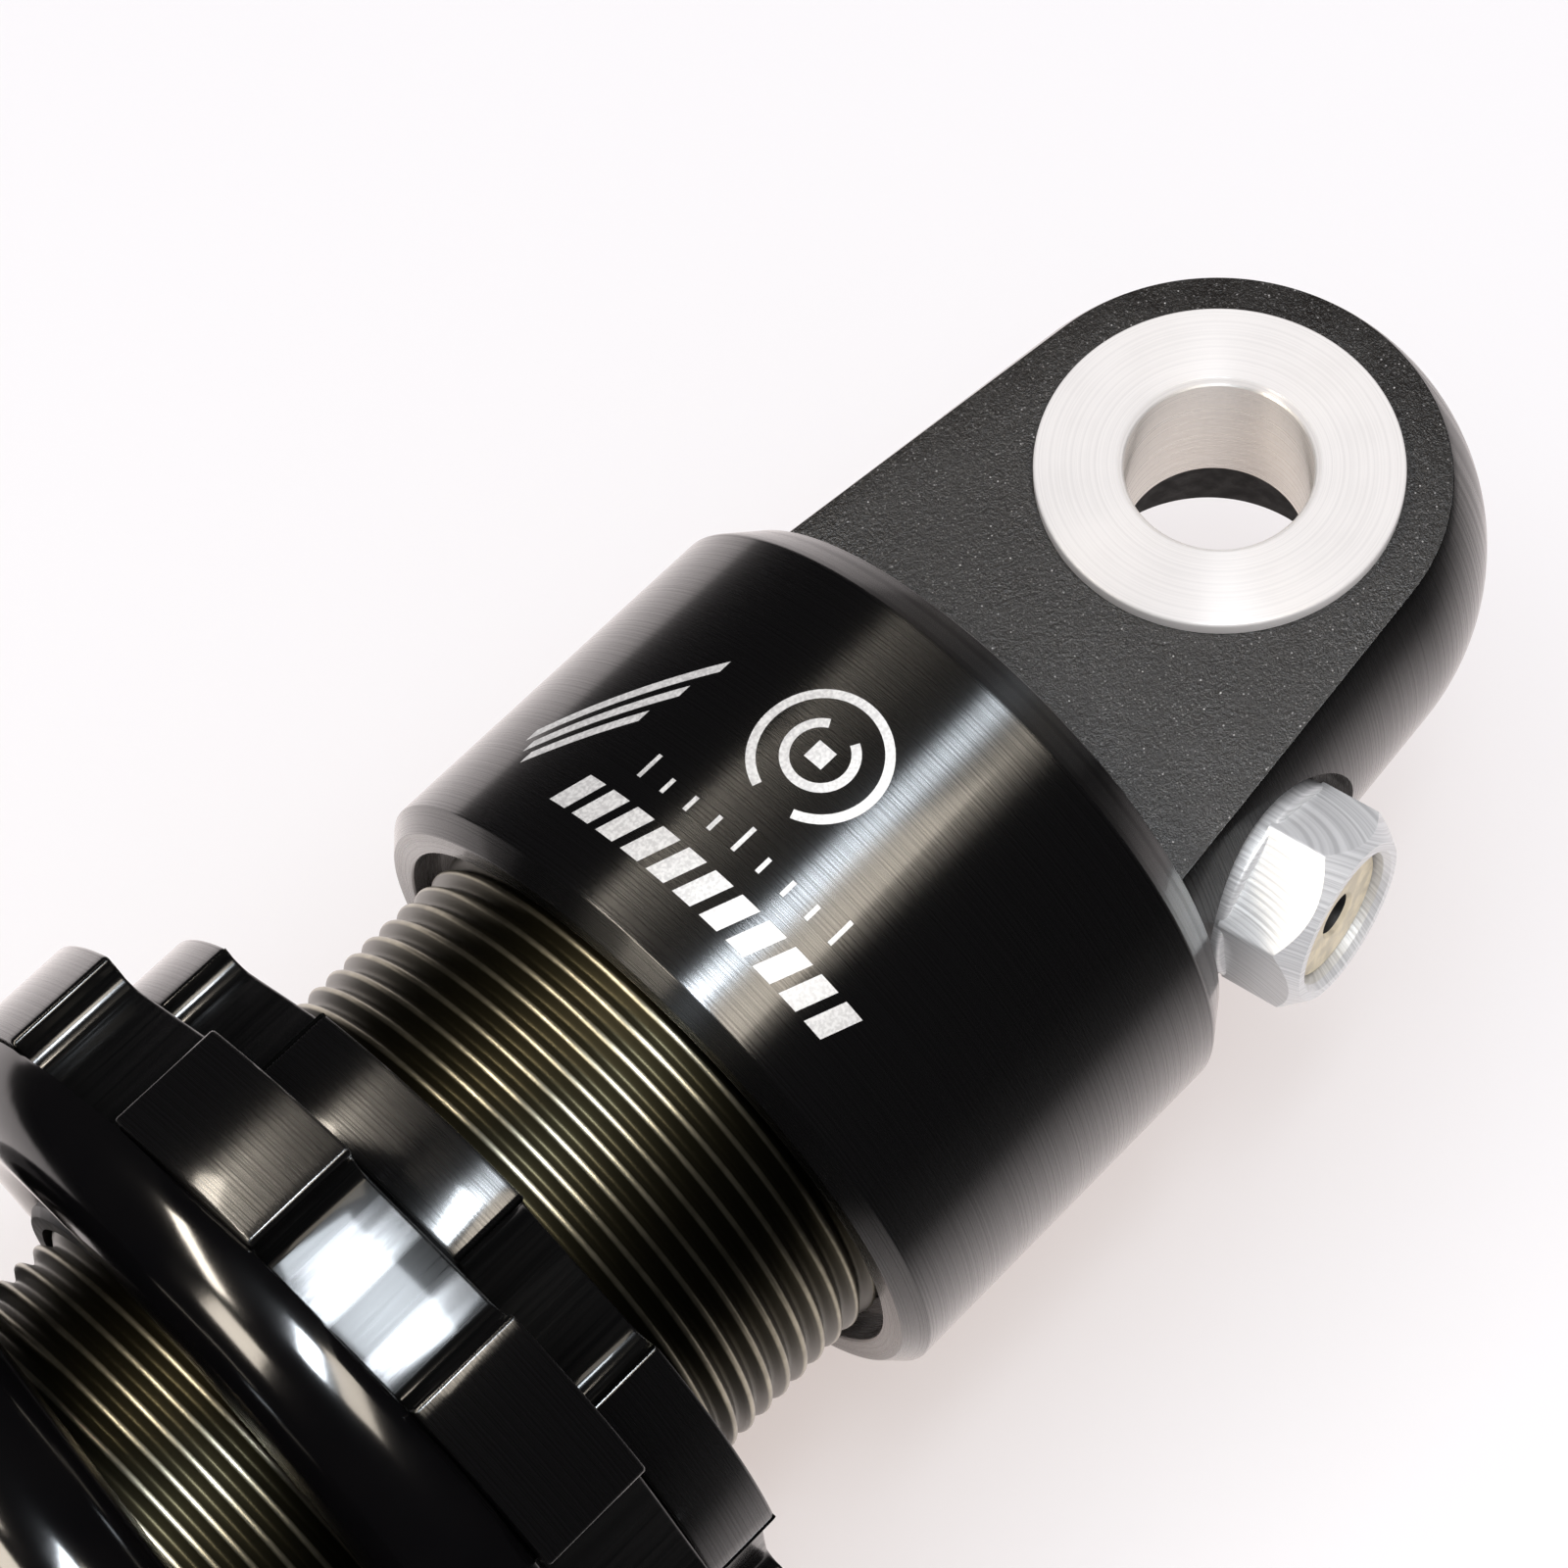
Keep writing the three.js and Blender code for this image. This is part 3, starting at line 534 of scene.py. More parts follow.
ETCHED = etched("etched_metal")
TURNED_BLACK = black_anodised("turned_black")
BLASTED_BLACK = blasted_black("blasted_black")
COLLAR_BLACK = black_anodised("collar_black", pitch=0.17, depth=0.0003)
NOTCH_BLACK = milled_black("notch_black")
THREAD = thread_anodised("bronze_thread")
PAINT = gloss_paint("spring_paint")
CREAM = rubber("cream_rubber", (0.80, 0.70, 0.50), 1.2, 0.012, 0.5)
BLACK_RUBBER = rubber("black_rubber", (0.02, 0.02, 0.02), 2.0, 0.01, 0.6)
URETHANE = rubber("urethane", (0.55, 0.33, 0.06), 1.0, 0.03, 0.45)
GREY_POLYMER = rubber("grey_polymer", (0.05, 0.052, 0.055), 0.8, 0.006, 0.45)
STEEL = plain_metal("ground_steel", (0.62, 0.62, 0.63), 0.3)
CHROME = plain_metal("hard_chrome", (0.78, 0.79, 0.81), 0.07, depth=0.0003)
BRONZE = plain_metal("sintered_bronze", (0.52, 0.32, 0.14), 0.42)
INNER_ALUMINIUM = bright_turned("inner_aluminium", (0, 0, 0), "X")
RED = black_anodised("red_anodised", pitch=0.3, colour=(0.28, 0.006, 0.006))
BUSH_LINER = rubber("bush_liner", (0.004, 0.004, 0.0042), 1.5, 0.008, 0.75)

# ---- Eyes ------------------------------------------------


def eye_shape(place, depth):
    """The domed eye and tapered neck with flat faces, as outlines from the lower flat to the upper."""
    tangent = -EYE_DOME * math.sin(math.atan(NECK_TAPER))
    tangent_radius = NECK_AT_EYE + NECK_TAPER * tangent
    layers = []
    for k in range(EDGE_ROWS):
        turn = math.pi / 2 * k / (EDGE_ROWS - 1)
        layers.append((-FLAT_HALF + FLAT_EDGE * (1 - math.sin(turn)), FLAT_EDGE * (1 - math.cos(turn))))
    layers.sort()
    middle = np.linspace(-FLAT_HALF + FLAT_EDGE, FLAT_HALF - FLAT_EDGE, 33)[1:-1]
    layers += [(float(h), 0.0) for h in middle]
    layers += [(-h, inset) for h, inset in layers[:EDGE_ROWS]][::-1]
    rows = []
    for height, inset in layers:
        straight = np.linspace(depth, tangent, 24)[:-1]
        side = np.sqrt((NECK_AT_EYE + NECK_TAPER * straight) ** 2 - height**2) - inset
        dome = math.sqrt(EYE_DOME**2 - height**2) - inset
        start = math.atan2(math.sqrt(tangent_radius**2 - height**2) - inset, tangent)
        arc = np.linspace(start, 2 * math.pi - start, 97)
        along = np.concatenate([straight, dome * np.cos(arc), straight[::-1]])
        across = np.concatenate([side, dome * np.sin(arc), -side[::-1]])
        rows.append(place.points(along, across, np.full(len(along), height)))
    count = len(rows[0])
    faces = grid(len(rows), count, False)
    faces.append(tuple(range(count))[::-1])
    faces.append(tuple((len(rows) - 1) * count + n for n in range(count)))
    return np.concatenate(rows), faces


def paint_flats(piece, index):
    """Gives the blasted flats the material of that index."""
    for face in piece.data.polygons:
        level = abs(face.center.z / MM - AXIS_Z)
        if abs(face.normal.z) > 0.999 and abs(level - FLAT_HALF) < 0.02:
            face.material_index = index


# ---- Gas valve's place -----------------------------------

VALVE_STATION = 10.4
VALVE_SEAT_Y = -11.75
VALVE_LEAN = math.radians(8)
VALVE_LIFT = math.radians(5)
valve_axis = Vector(
    (
        math.sin(VALVE_LEAN),
        -math.cos(VALVE_LEAN) * math.cos(VALVE_LIFT),
        math.cos(VALVE_LEAN) * math.sin(VALVE_LIFT),
    )
)
valve_across = valve_axis.cross(Vector((0, 0, 1))).normalized()
valve_up = valve_across.cross(valve_axis).normalized()
VALVE = Place((EYE_X - VALVE_STATION, VALVE_SEAT_Y, 0), valve_axis, valve_across, valve_up)

# ---- Head ------------------------------------------------

SOCKET = TUBE_RADIUS + 0.05
SOCKET_START = TUBE_START - 0.3
HEAD_FLOOR = 18.6
LIP_START = HEAD_END - 1.5
BARREL = rounded(
    [
        (SHOULDER, 0), (SHOULDER, HEAD_RADIUS - 1.25, 0.3), (SHOULDER + 1.75, HEAD_RADIUS, 0.3),
        (HEAD_END - 0.8, HEAD_RADIUS, 0.15), (HEAD_END, HEAD_RADIUS - 0.8, 0.12), (HEAD_END, 13.5, 0.12),
        (LIP_START, 13.4), (LIP_START, SOCKET), (SOCKET_START, SOCKET), (SOCKET_START, TUBE_BORE),
        (HEAD_FLOOR, TUBE_BORE), (HEAD_FLOOR, 0),
    ],
    8,
)
head = make_piece("damper_head", eye_shape(SHOCK, 17.4), TURNED_BLACK, BLASTED_BLACK)
combine(head, [lathe(BARREL, SHOCK, BARREL_SEGMENTS)], "UNION")
combine(
    head,
    [
        rod(upright(EYE_X), -EYE_CUT, EYE_CUT, EYE_BORE, ROUND),
        rod(VALVE, 0, 12, 5.2, ROUND),  # the valve's spot face, its seal's seat and its shank's hole
        rod(VALVE, -1.05, 1, 3.75, ROUND),
        rod(VALVE, -6, 1, 2.55, ROUND),
    ],
    "DIFFERENCE",
)
set_materials(head, TURNED_BLACK, BLASTED_BLACK)
paint_flats(head, 1)
on_body(head, "damper_body", "black_anodised", "upper_head")

# ---- Etched marks ----------------------------------------

MARK_PROUD, MARK_SUNK = 0.012, 0.03


def barrel_patch(station, arc):
    """A thin closed patch on the barrel, from equal grids of stations and of distances round from its top."""
    angle = math.pi / 2 + arc / HEAD_RADIUS
    rows, columns = station.shape
    layers = []
    for level in (HEAD_RADIUS + MARK_PROUD, HEAD_RADIUS - MARK_SUNK):
        layers.append(SHOCK.points(station, level * np.cos(angle), level * np.sin(angle)).reshape(-1, 3))
    count = rows * columns
    outside = grid(rows, columns, False, False)
    faces = outside + [tuple(count + n for n in face[::-1]) for face in outside]
    rim = list(range(columns))
    rim += [i * columns + columns - 1 for i in range(1, rows)]
    rim += [(rows - 1) * columns + j for j in range(columns - 2, -1, -1)]
    rim += [i * columns for i in range(rows - 2, 0, -1)]
    for a, b in zip(rim, rim[1:] + rim[:1]):
        faces.append((b, a, count + a, count + b))
    return np.concatenate(layers), faces


def bar_patch(station, arc, length, width, slant=0.0, lean=0.0):
    """A slanted bar. arc is measured round the barrel from its top, as is length. width runs along it."""
    u, v = np.meshgrid(np.linspace(-0.5, 0.5, 17), np.linspace(-0.5, 0.5, 3))
    along = station + v * width + u * length * slant
    around = arc + u * length + v * width * lean
    return barrel_patch(along, around)


def ring_patch(outer, inner, start, end):
    """Part of a ring, from one angle to another."""
    turn, size = np.meshgrid(np.linspace(start, end, 73), np.linspace(inner, outer, 3))
    return barrel_patch(RING_STATION + size * np.cos(turn), RING_ARC + size * np.sin(turn))


def merged(shapes):
    points, faces, offset = [], [], 0
    for some_points, some_faces in shapes:
        points.append(some_points)
        faces += [tuple(offset + n for n in face) for face in some_faces]
        offset += len(some_points)
    return np.concatenate(points), faces


RING_STATION, RING_ARC = 24.0, 0.46
marks = []
for k in range(3):  # three plain slanted bars
    marks.append(bar_patch(26.6 + 1.15 * k, -8.3, 5.6 - 1.1 * k, 0.62, slant=-1.15))
# A broken double ring round a square.
marks.append(ring_patch(2.9, 2.5, 0.35, 2 * math.pi - 0.35))
marks.append(ring_patch(1.6, 1.2, math.pi + 0.5, 3 * math.pi - 0.5))
marks.append(bar_patch(RING_STATION, RING_ARC, 0.9, 0.9))
for k in range(9):  # a short scale of ticks
    tall = 1.25 if k % 4 == 0 else 0.75
    marks.append(bar_patch(29.2 - tall / 2, -4.4 + 1.3 * k, 0.2, tall))
for k in range(11):  # a hatched band
    marks.append(bar_patch(31.1, -6.0 + 1.42 * k, 0.95, 1.75, lean=-0.35))
marks_piece = make_piece("etched_marks", merged(marks), ETCHED)
on_body(marks_piece, "damper_body", "bright_aluminium")

# ---- Eye hardware ----------------------------------------

SPACER_BORE = 4.0
SLEEVE_RADIUS = 6.3
FLANGE_RADIUS = 7.8
FLANGE_LOW, FLANGE_TOP = FLAT_HALF + 0.02, 7.1
SPACER = rounded(
    [
        (0.12, SPACER_BORE, 0.1), (0.12, SLEEVE_RADIUS, 0.25), (FLANGE_LOW, SLEEVE_RADIUS),
        (FLANGE_LOW, FLANGE_RADIUS, 0.05), (FLANGE_TOP, FLANGE_RADIUS, 0.13),
        (FLANGE_TOP, SPACER_BORE + 0.28, 0.06), (FLANGE_TOP - 0.28, SPACER_BORE, 0.06),
    ]
)
BUSH_HALF, BUSH_BORE, BUSH_RADIUS = FLAT_HALF - 0.1, 6.38, 7.5
BUSH = [
    (-BUSH_HALF, BUSH_BORE), (-BUSH_HALF, BUSH_RADIUS), (BUSH_HALF, BUSH_RADIUS), (BUSH_HALF, BUSH_BORE),
]
for end, eye_x, sides in (("upper", EYE_X, ("top",)), ("lower", LOWER_EYE_X, ("top", "bottom"))):
    aluminium = bright_turned(f"{end}_spacer_turned", (eye_x, 0, 0), bore=SPACER_BORE)
    bush = make_piece(f"{end}_plain_bush", lathe(BUSH, upright(eye_x), SPACER_SEGMENTS), BUSH_LINER)
    on_body(bush, "damper_body" if end == "upper" else "shaft_assembly", "bronze", f"{end}_bush")
    for side in sides:
        sign = 1 if side == "top" else -1
        shape = lathe(SPACER, upright(eye_x, sign), SPACER_SEGMENTS)
        spacer = make_piece(f"{end}_{side}_flanged_spacer", shape, aluminium)
        on_body(spacer, f"{end}_eye_hardware", "bright_aluminium", f"{end}_spacer_{side}")

# ---- Gas valve -------------------------------------------

HEX_CORNER = 4.62
VALVE_TOP = 4.3


def hex_prism(place, start, end, corner, edge=0.12):
    """A hexagonal prism with slightly rounded edges, one corner pointing up."""
    outline = []
    for k in range(6):
        for shift in (-1, -0.35, 0.35, 1):
            angle = math.pi / 2 + k * math.pi / 3 + shift * edge / corner
            reach = corner * math.cos(math.pi / 6) / math.cos(math.pi / 6 - abs(shift) * edge / corner)
            reach -= edge * 0.12 * (1 - abs(shift))
            outline.append((reach * math.cos(angle), reach * math.sin(angle)))
    across, up = np.array(outline).T
    rows = [place.points(np.full(len(across), along), across, up) for along in (start, end)]
    count = len(across)
    faces = grid(2, count, False)
    faces += [tuple(range(count))[::-1], tuple(count + n for n in range(count))]
    return np.concatenate(rows), faces


hexagon = make_piece("valve_hex_nut", hex_prism(VALVE, 0.6, VALVE_TOP, HEX_CORNER))
# The chamfer on the hexagon's top, the flange and shank under it, and its bore.
ENVELOPE = [
    (0.1, 0), (0.1, HEX_CORNER + 0.1), (VALVE_TOP - 1.15, HEX_CORNER + 0.1), (VALVE_TOP, HEX_CORNER - 0.9),
    (VALVE_TOP, 0),
]
SHANK = rounded(
    [
        (-8.2, 0), (-8.2, 2.15, 0.1), (-7.9, 2.45, 0.1), (0.03, 2.45), (0.03, 4.45, 0.05), (0.85, 4.5, 0.2),
        (0.85, 3.2), (1.0, 0),
    ]
)
HOLLOW = [(-9, 0), (-9, 0.9), (2.4, 0.9), (2.4, 3.1), (4.05, 3.1), (4.4, 3.4), (4.4, 0)]
for profile, operation in ((ENVELOPE, "INTERSECT"), (SHANK, "UNION"), (HOLLOW, "DIFFERENCE")):
    combine(hexagon, [lathe(profile, VALVE, ROUND)], operation)
set_materials(hexagon, milled_aluminium("milled_valve", tuple(VALVE.origin)))
on_body(hexagon, "damper_body", "bright_aluminium", "gas_valve")

PLUG_HOLE = 0.95
PLUG_RADIUS = 2.98
HOLE_FLOOR = 2.8
plug = rounded(
    [
        (2.45, 0), (2.45, PLUG_RADIUS, 0.1), (3.72, PLUG_RADIUS, 0.25), (3.78, PLUG_HOLE + 0.15, 0.12),
        (3.6, PLUG_HOLE), (HOLE_FLOOR, PLUG_HOLE), (HOLE_FLOOR, 0),
    ]
)
plug_piece = make_piece("valve_cream_plug", lathe(plug, VALVE, 96), CREAM, BLACK_RUBBER)
# The wall and floor of the plug's hole take the black rubber: painted shade inside the hole.
for face in plug_piece.data.polygons:
    arm = (face.center - Vector((0, 0, AXIS_Z * MM))) / MM - Vector(VALVE.origin)
    if arm.cross(valve_axis).length < PLUG_HOLE + 0.01 and arm.dot(valve_axis) > HOLE_FLOOR - 0.2:
        face.material_index = 1
on_body(plug_piece, "damper_body", "cream_rubber", "valve_plug")

# ---- Threaded tube ---------------------------------------

# Depth below the crest at each share of one pitch.
THREAD_FORM = (
    (0.0, 0.0), (0.07, 0.014), (0.14, 0.07), (0.25, 0.23), (0.37, 0.41), (0.44, 0.47),
    (0.5, 0.485), (0.56, 0.47), (0.63, 0.41), (0.75, 0.23), (0.86, 0.07), (0.93, 0.014),
)


def threaded_tube():
    """A tube with a helical thread outside. Rows of points follow the helix, so crests stay crisp."""
    segments = 108
    chamfer = 0.5
    runout = 1.2
    turns = int((TUBE_END - TUBE_START) / THREAD_PITCH) + 4
    angle = np.arange(segments + 1) / segments
    rows = []
    for turn in range(turns):
        for share, depth in THREAD_FORM:
            station = TUBE_START - 2 + THREAD_PITCH * (turn + share + angle)
            cut = np.clip(np.minimum(station - THREAD_START, THREAD_END - station) / runout, 0, 1)
            ends = np.minimum(station - TUBE_START, TUBE_END - station)
            radius = TUBE_RADIUS - depth * cut - np.clip(chamfer - ends, 0, chamfer)
            rows.append((np.clip(station, TUBE_START, TUBE_END), radius))
    per_turn = len(THREAD_FORM)

    def number(i, j):
        """A point's place in the list. The column after the last is the first one, a turn further on."""
        return j + per_turn if i == segments else i * len(rows) + j

    points, faces = [], []
    for i in range(segments):
        turn = 2 * math.pi * angle[i]
        for station, radius in rows:
            points.append(SHOCK.points(station[i], radius[i] * math.cos(turn), radius[i] * math.sin(turn)))
        for j in range(len(rows) - per_turn - 1):
            corners = ((i, j), (i + 1, j), (i + 1, j + 1), (i, j + 1))
            faces.append(tuple(number(a, b) for a, b in corners))
    # The end faces and the bore run between rings that meet the outer skin's two clamped ends.
    offset = len(points)
    turn = np.arange(segments) / segments * 2 * math.pi
    end_radius = TUBE_RADIUS - chamfer
    rings = ((TUBE_START, end_radius), (TUBE_START, TUBE_BORE), (TUBE_END, TUBE_BORE), (TUBE_END, end_radius))
    for station, radius in rings:
        points.extend(SHOCK.points(np.full(segments, station), radius * np.cos(turn), radius * np.sin(turn)))
    return np.array(points), faces + grid(len(rings), segments, False, True, offset)


tube = make_piece("threaded_damper_tube", threaded_tube(), THREAD, sharp=50)
clean(tube.data)
shade(tube, 50)
on_body(tube, "damper_body", "thread_anodised", "damper_tube")

# ---- Collars ---------------------------------------------

NOTCH_FILLET = 0.9
TOOTH_EDGE = 0.26
COLLAR_CHAMFER = 0.16
BORE_CHAMFER = 0.4


def notched_outline(outer, floor, width, teeth, first_tooth, inset):
    """Across and up of a castellated ring's outline, moved into the metal by inset."""
    half = width / 2 + inset
    low = floor - inset
    top = outer - inset
    corner = NOTCH_FILLET + inset
    soft = max(TOOTH_EDGE - inset, 0.02)
    across, up = [], []
    for tooth in range(teeth):
        middle = math.radians(first_tooth + 360 * (tooth + 0.5) / teeth)
        u, v = [], []
        # The tooth edge's rounding touches the wall at u = half and the outer circle.
        centre_u = half + soft
        centre_v = math.sqrt((top - soft) ** 2 - centre_u**2)
        contact = math.atan2(centre_v, centre_u)
        for k in range(6):
            turn = contact + (math.pi - contact) * k / 5
            u.append(centre_u + soft * math.cos(turn))
            v.append(centre_v + soft * math.sin(turn))
        u += [half, half]
        v += [centre_v - 0.35 * (centre_v - low - corner), low + corner + 0.02]
        for k in range(7):
            turn = -math.pi / 2 * k / 6
            u.append(half - corner + corner * math.cos(turn))
            v.append(low + corner + corner * math.sin(turn))
        floor_u = np.linspace(half - corner, 0, 5)[1:]
        u += list(floor_u)
        v += [low] * len(floor_u)
        u += [-value for value in u[-2::-1]]
        v += v[-2::-1]
        # Seen from the notch, u runs from one side to the other; the tooth's arc follows.
        for a, b in zip(u, v):
            across.append(b * math.cos(middle) + a * math.sin(middle))
            up.append(b * math.sin(middle) - a * math.cos(middle))
        start = middle + math.pi / 2 - contact
        after = middle + 2 * math.pi / teeth - (math.pi / 2 - contact)
        for turn in np.linspace(start, after, 18)[1:-1]:
            across.append(top * math.cos(turn))
            up.append(top * math.sin(turn))
    return np.array(across), np.array(up)


def castellated(start, end, **sizes):
    """A castellated ring between two stations, its sizes those of notched_outline()."""
    rows = []
    for k in range(EDGE_ROWS):
        turn = math.pi / 2 * k / (EDGE_ROWS - 1)
        rows.append((start + COLLAR_CHAMFER * (1 - math.cos(turn)), COLLAR_CHAMFER * (1 - math.sin(turn))))
    rows += [(start + end - station, inset) for station, inset in rows[::-1]]
    points = []
    for station, inset in rows:
        across, up = notched_outline(inset=inset, **sizes)
        points.append(SHOCK.points(np.full(len(across), station), across, up))
    across, up = notched_outline(inset=0, **sizes)
    turn = np.unwrap(np.arctan2(up, across))
    # The bore, with a small chamfer at both ends.
    wide, first, last = COLLAR_BORE + BORE_CHAMFER, start + BORE_CHAMFER, end - BORE_CHAMFER
    for station, radius in ((end, wide), (last, COLLAR_BORE), (first, COLLAR_BORE), (start, wide)):
        points.append(SHOCK.points(np.full(len(turn), station), radius * np.cos(turn), radius * np.sin(turn)))
    return np.concatenate(points), grid(len(points), len(turn), True)


def paint_notches(piece, outer):
    """Gives the notch walls and floors the second material."""
    for face in piece.data.polygons:
        out = Vector((0, face.center.y, face.center.z - AXIS_Z * MM))
        radius = out.length / MM
        if COLLAR_BORE + 1 < radius < outer - 0.05 and abs(face.normal.x) < 0.3:
            face.material_index = 1


LOCK_RING = dict(outer=17.5, floor=16.2, width=7.2, teeth=6, first_tooth=90.5)
lock_ring = make_piece(
    "castellated_lock_ring", castellated(44.7, 48.1, **LOCK_RING), COLLAR_BLACK, NOTCH_BLACK
)
paint_notches(lock_ring, LOCK_RING["outer"])
on_body(lock_ring, "lock_ring_body", "black_anodised", "lock_ring")
PRELOAD_COLLAR = dict(outer=20.5, floor=18.6, width=8.0, teeth=8, first_tooth=82.1)
collar = make_piece(
    "castellated_preload_collar", castellated(48.4, 53.3, **PRELOAD_COLLAR), COLLAR_BLACK, NOTCH_BLACK
)
paint_notches(collar, PRELOAD_COLLAR["outer"])
on_body(collar, "preload_collar_body", "black_anodised", "preload_collar")
guide = rounded(
    [(53.35, COLLAR_BORE), (53.35, 13.7, 0.1), (56.1, 13.7, 0.1), (56.4, 13.4, 0.1), (56.4, COLLAR_BORE)]
)
guide_piece = make_piece("spring_guide_sleeve", lathe(guide), GREY_POLYMER)
on_body(guide_piece, "spring_guide_body", "grey_polymer", "spring_guide")

# ---- Spring ----------------------------------------------


def smooth_step(value, low, high):
    share = np.clip((value - low) / (high - low), 0, 1)
    return share * share * (3 - 2 * share)


CLOSING = 36  # just over the shaft's travel


def spring_path(steps):
    """Turn, station and how much of the spring's give lies before it, at even steps along the wire."""
    turn = np.linspace(0, SPRING_TURNS, steps + 1)
    middle = (turn[1:] + turn[:-1]) / 2
    openness = smooth_step(np.minimum(middle, SPRING_TURNS - middle), 0.45, 0.85)
    step = SPRING_TURNS / steps
    travel = SPRING_END - SPRING_START + 2 * TIP_SINK
    extra = (travel - SPRING_TURNS * CLOSED_PITCH) / (openness.sum() * step)
    steps_along = (CLOSED_PITCH + extra * openness) * step
    station = SPRING_START - TIP_SINK + np.concatenate([[0], np.cumsum(steps_along)])
    give = np.concatenate([[0], np.cumsum(openness)]) / openness.sum()
    return turn, station, give


def spring_shape(steps=760, sides=40):
    """The wire's skin, with its end coils ground flat, and each point's share of the spring's give."""
    turn, station, give = spring_path(steps)
    angle = SPRING_TIP_ANGLE + turn * 2 * math.pi
    centre = SHOCK.points(station, COIL_RADIUS * np.cos(angle), COIL_RADIUS * np.sin(angle))
    ahead = np.gradient(centre, axis=0)
    ahead /= np.linalg.norm(ahead, axis=1)[:, None]
    outward = SHOCK.points(0 * station, np.cos(angle), np.sin(angle)) - SHOCK.origin
    side = np.cross(ahead, outward)
    side /= np.linalg.norm(side, axis=1)[:, None]
    outward = np.cross(side, ahead)
    around = np.arange(sides) / sides * 2 * math.pi
    # The tips are rounded off over the last few steps.
    wire = np.full(len(turn), WIRE_RADIUS)
    for k, share in enumerate((0.86, 0.95, 0.99)):
        wire[k] *= share
        wire[-1 - k] *= share
    points = (
        centre[:, None, :]
        + wire[:, None, None] * np.cos(around)[None, :, None] * outward[:, None, :]
        + wire[:, None, None] * np.sin(around)[None, :, None] * side[:, None, :]
    )
    low, high = EYE_X - SPRING_END, EYE_X - SPRING_START
    points[..., 0] = np.clip(points[..., 0], low, high)
    faces = grid(len(turn), sides, False)
    faces += [tuple(range(sides))[::-1], tuple(steps * sides + n for n in range(sides))]
    # No point moves further than the room it has in front of the face its end bears on.
    share = np.clip(give[:, None], 1 - (points[..., 0] - low) / CLOSING, (high - points[..., 0]) / CLOSING)
    return points.reshape(-1, 3), faces, share.ravel()


points, faces, give = spring_shape()
points[:, 2] += AXIS_Z
spring_mesh = bpy.data.meshes.new("coil_spring")
spring_mesh.from_pydata((points * MM).tolist(), [], faces)
spring_mesh.materials.append(PAINT)
spring = add_object("coil_spring", spring_mesh)
shade(spring, 45)
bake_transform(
    spring,
    "damper_body",
    "shaft_assembly",
    start=((EYE_X - SPRING_START) * MM, 0, AXIS_Z * MM),
    end=((EYE_X - SPRING_END) * MM, 0, AXIS_Z * MM),
)
# Each point follows the shaft by the share of the spring's give before it, so the wire stays round.
spring_mesh.attributes["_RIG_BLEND"].data.foreach_set("value", give.astype(np.float32))
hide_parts("main_spring")

# ---- Gland, shaft and bump stop --------------------------

gland = rounded(
    [
        (84.2, 5.12), (84.2, 11.15, 0.3), (96.1, 11.15), (96.1, 12.3, 0.1), (97.6, 12.3, 0.35),
        (97.6, 7.25, 0.1), (91.2, 7.25), (91.2, 6.05), (85.4, 6.05), (85.4, 5.12),
    ]
)
on_body(make_piece("gland_head", lathe(gland), COLLAR_BLACK), "damper_body", "black_anodised", "seal_head")
wiper = rounded(
    [
        (94.1, 5.3), (94.1, 7.2), (97.5, 7.2, 0.2), (97.5, 6.4, 0.2), (98.2, 5.5, 0.15), (98.2, 5.06),
        (97.0, 5.3),
    ]
)
wiper_piece = make_piece("shaft_wiper", lathe(wiper, SHOCK, ROUND), BLACK_RUBBER)
on_body(wiper_piece, "damper_body", "black_rubber", "dust_wiper")

SHAFT = rounded(
    [
        (66.5, 0.7), (66.5, 3.0, 0.3), (80.2, 3.0), (80.2, 5.0, 0.15), (151.6, 5.0, 0.2), (151.6, 1.5),
        (70.5, 1.5), (70.0, 0.7),
    ]
)
shaft = make_piece("damper_shaft", lathe(SHAFT, SHOCK, ROUND), CHROME)
on_body(shaft, "shaft_assembly", "hard_chrome", "shaft")
stop = rounded(
    [
        (134.4, 5.1, 0.1), (134.4, 7.2, 1.1), (137.3, 7.25, 0.8), (138.4, 6.75, 0.8), (139.5, 7.9, 0.9),
        (141.4, 8.8, 0.7), (142.35, 8.8, 0.15), (142.35, 5.1),
    ],
    8,
)
stop_piece = make_piece("bump_stop_cone", lathe(stop, SHOCK, ROUND), URETHANE)
on_body(stop_piece, "shaft_assembly", "urethane", "bump_stop")

# ---- Lower seat and eyelet -------------------------------

SEAT = rounded(
    [
        (138.5, 12.0, 0.1), (138.5, 13.7, 0.3), (142.0, 13.7), (142.0, 20.5, 0.35), (146.0, 20.5, 0.55),
        (146.0, 9.0, 0.2), (142.5, 9.0), (142.5, 12.0),
    ],
    6,
)
SLOT_HALF = 5.3
seat = make_piece("slotted_spring_seat", lathe(SEAT))
combine(seat, [box_shape((EYE_X - 148, 0, -SLOT_HALF), (EYE_X - 137, 30, SLOT_HALF))], "DIFFERENCE")
set_materials(seat, COLLAR_BLACK)
on_body(seat, "shaft_assembly", "black_anodised", "lower_spring_seat")

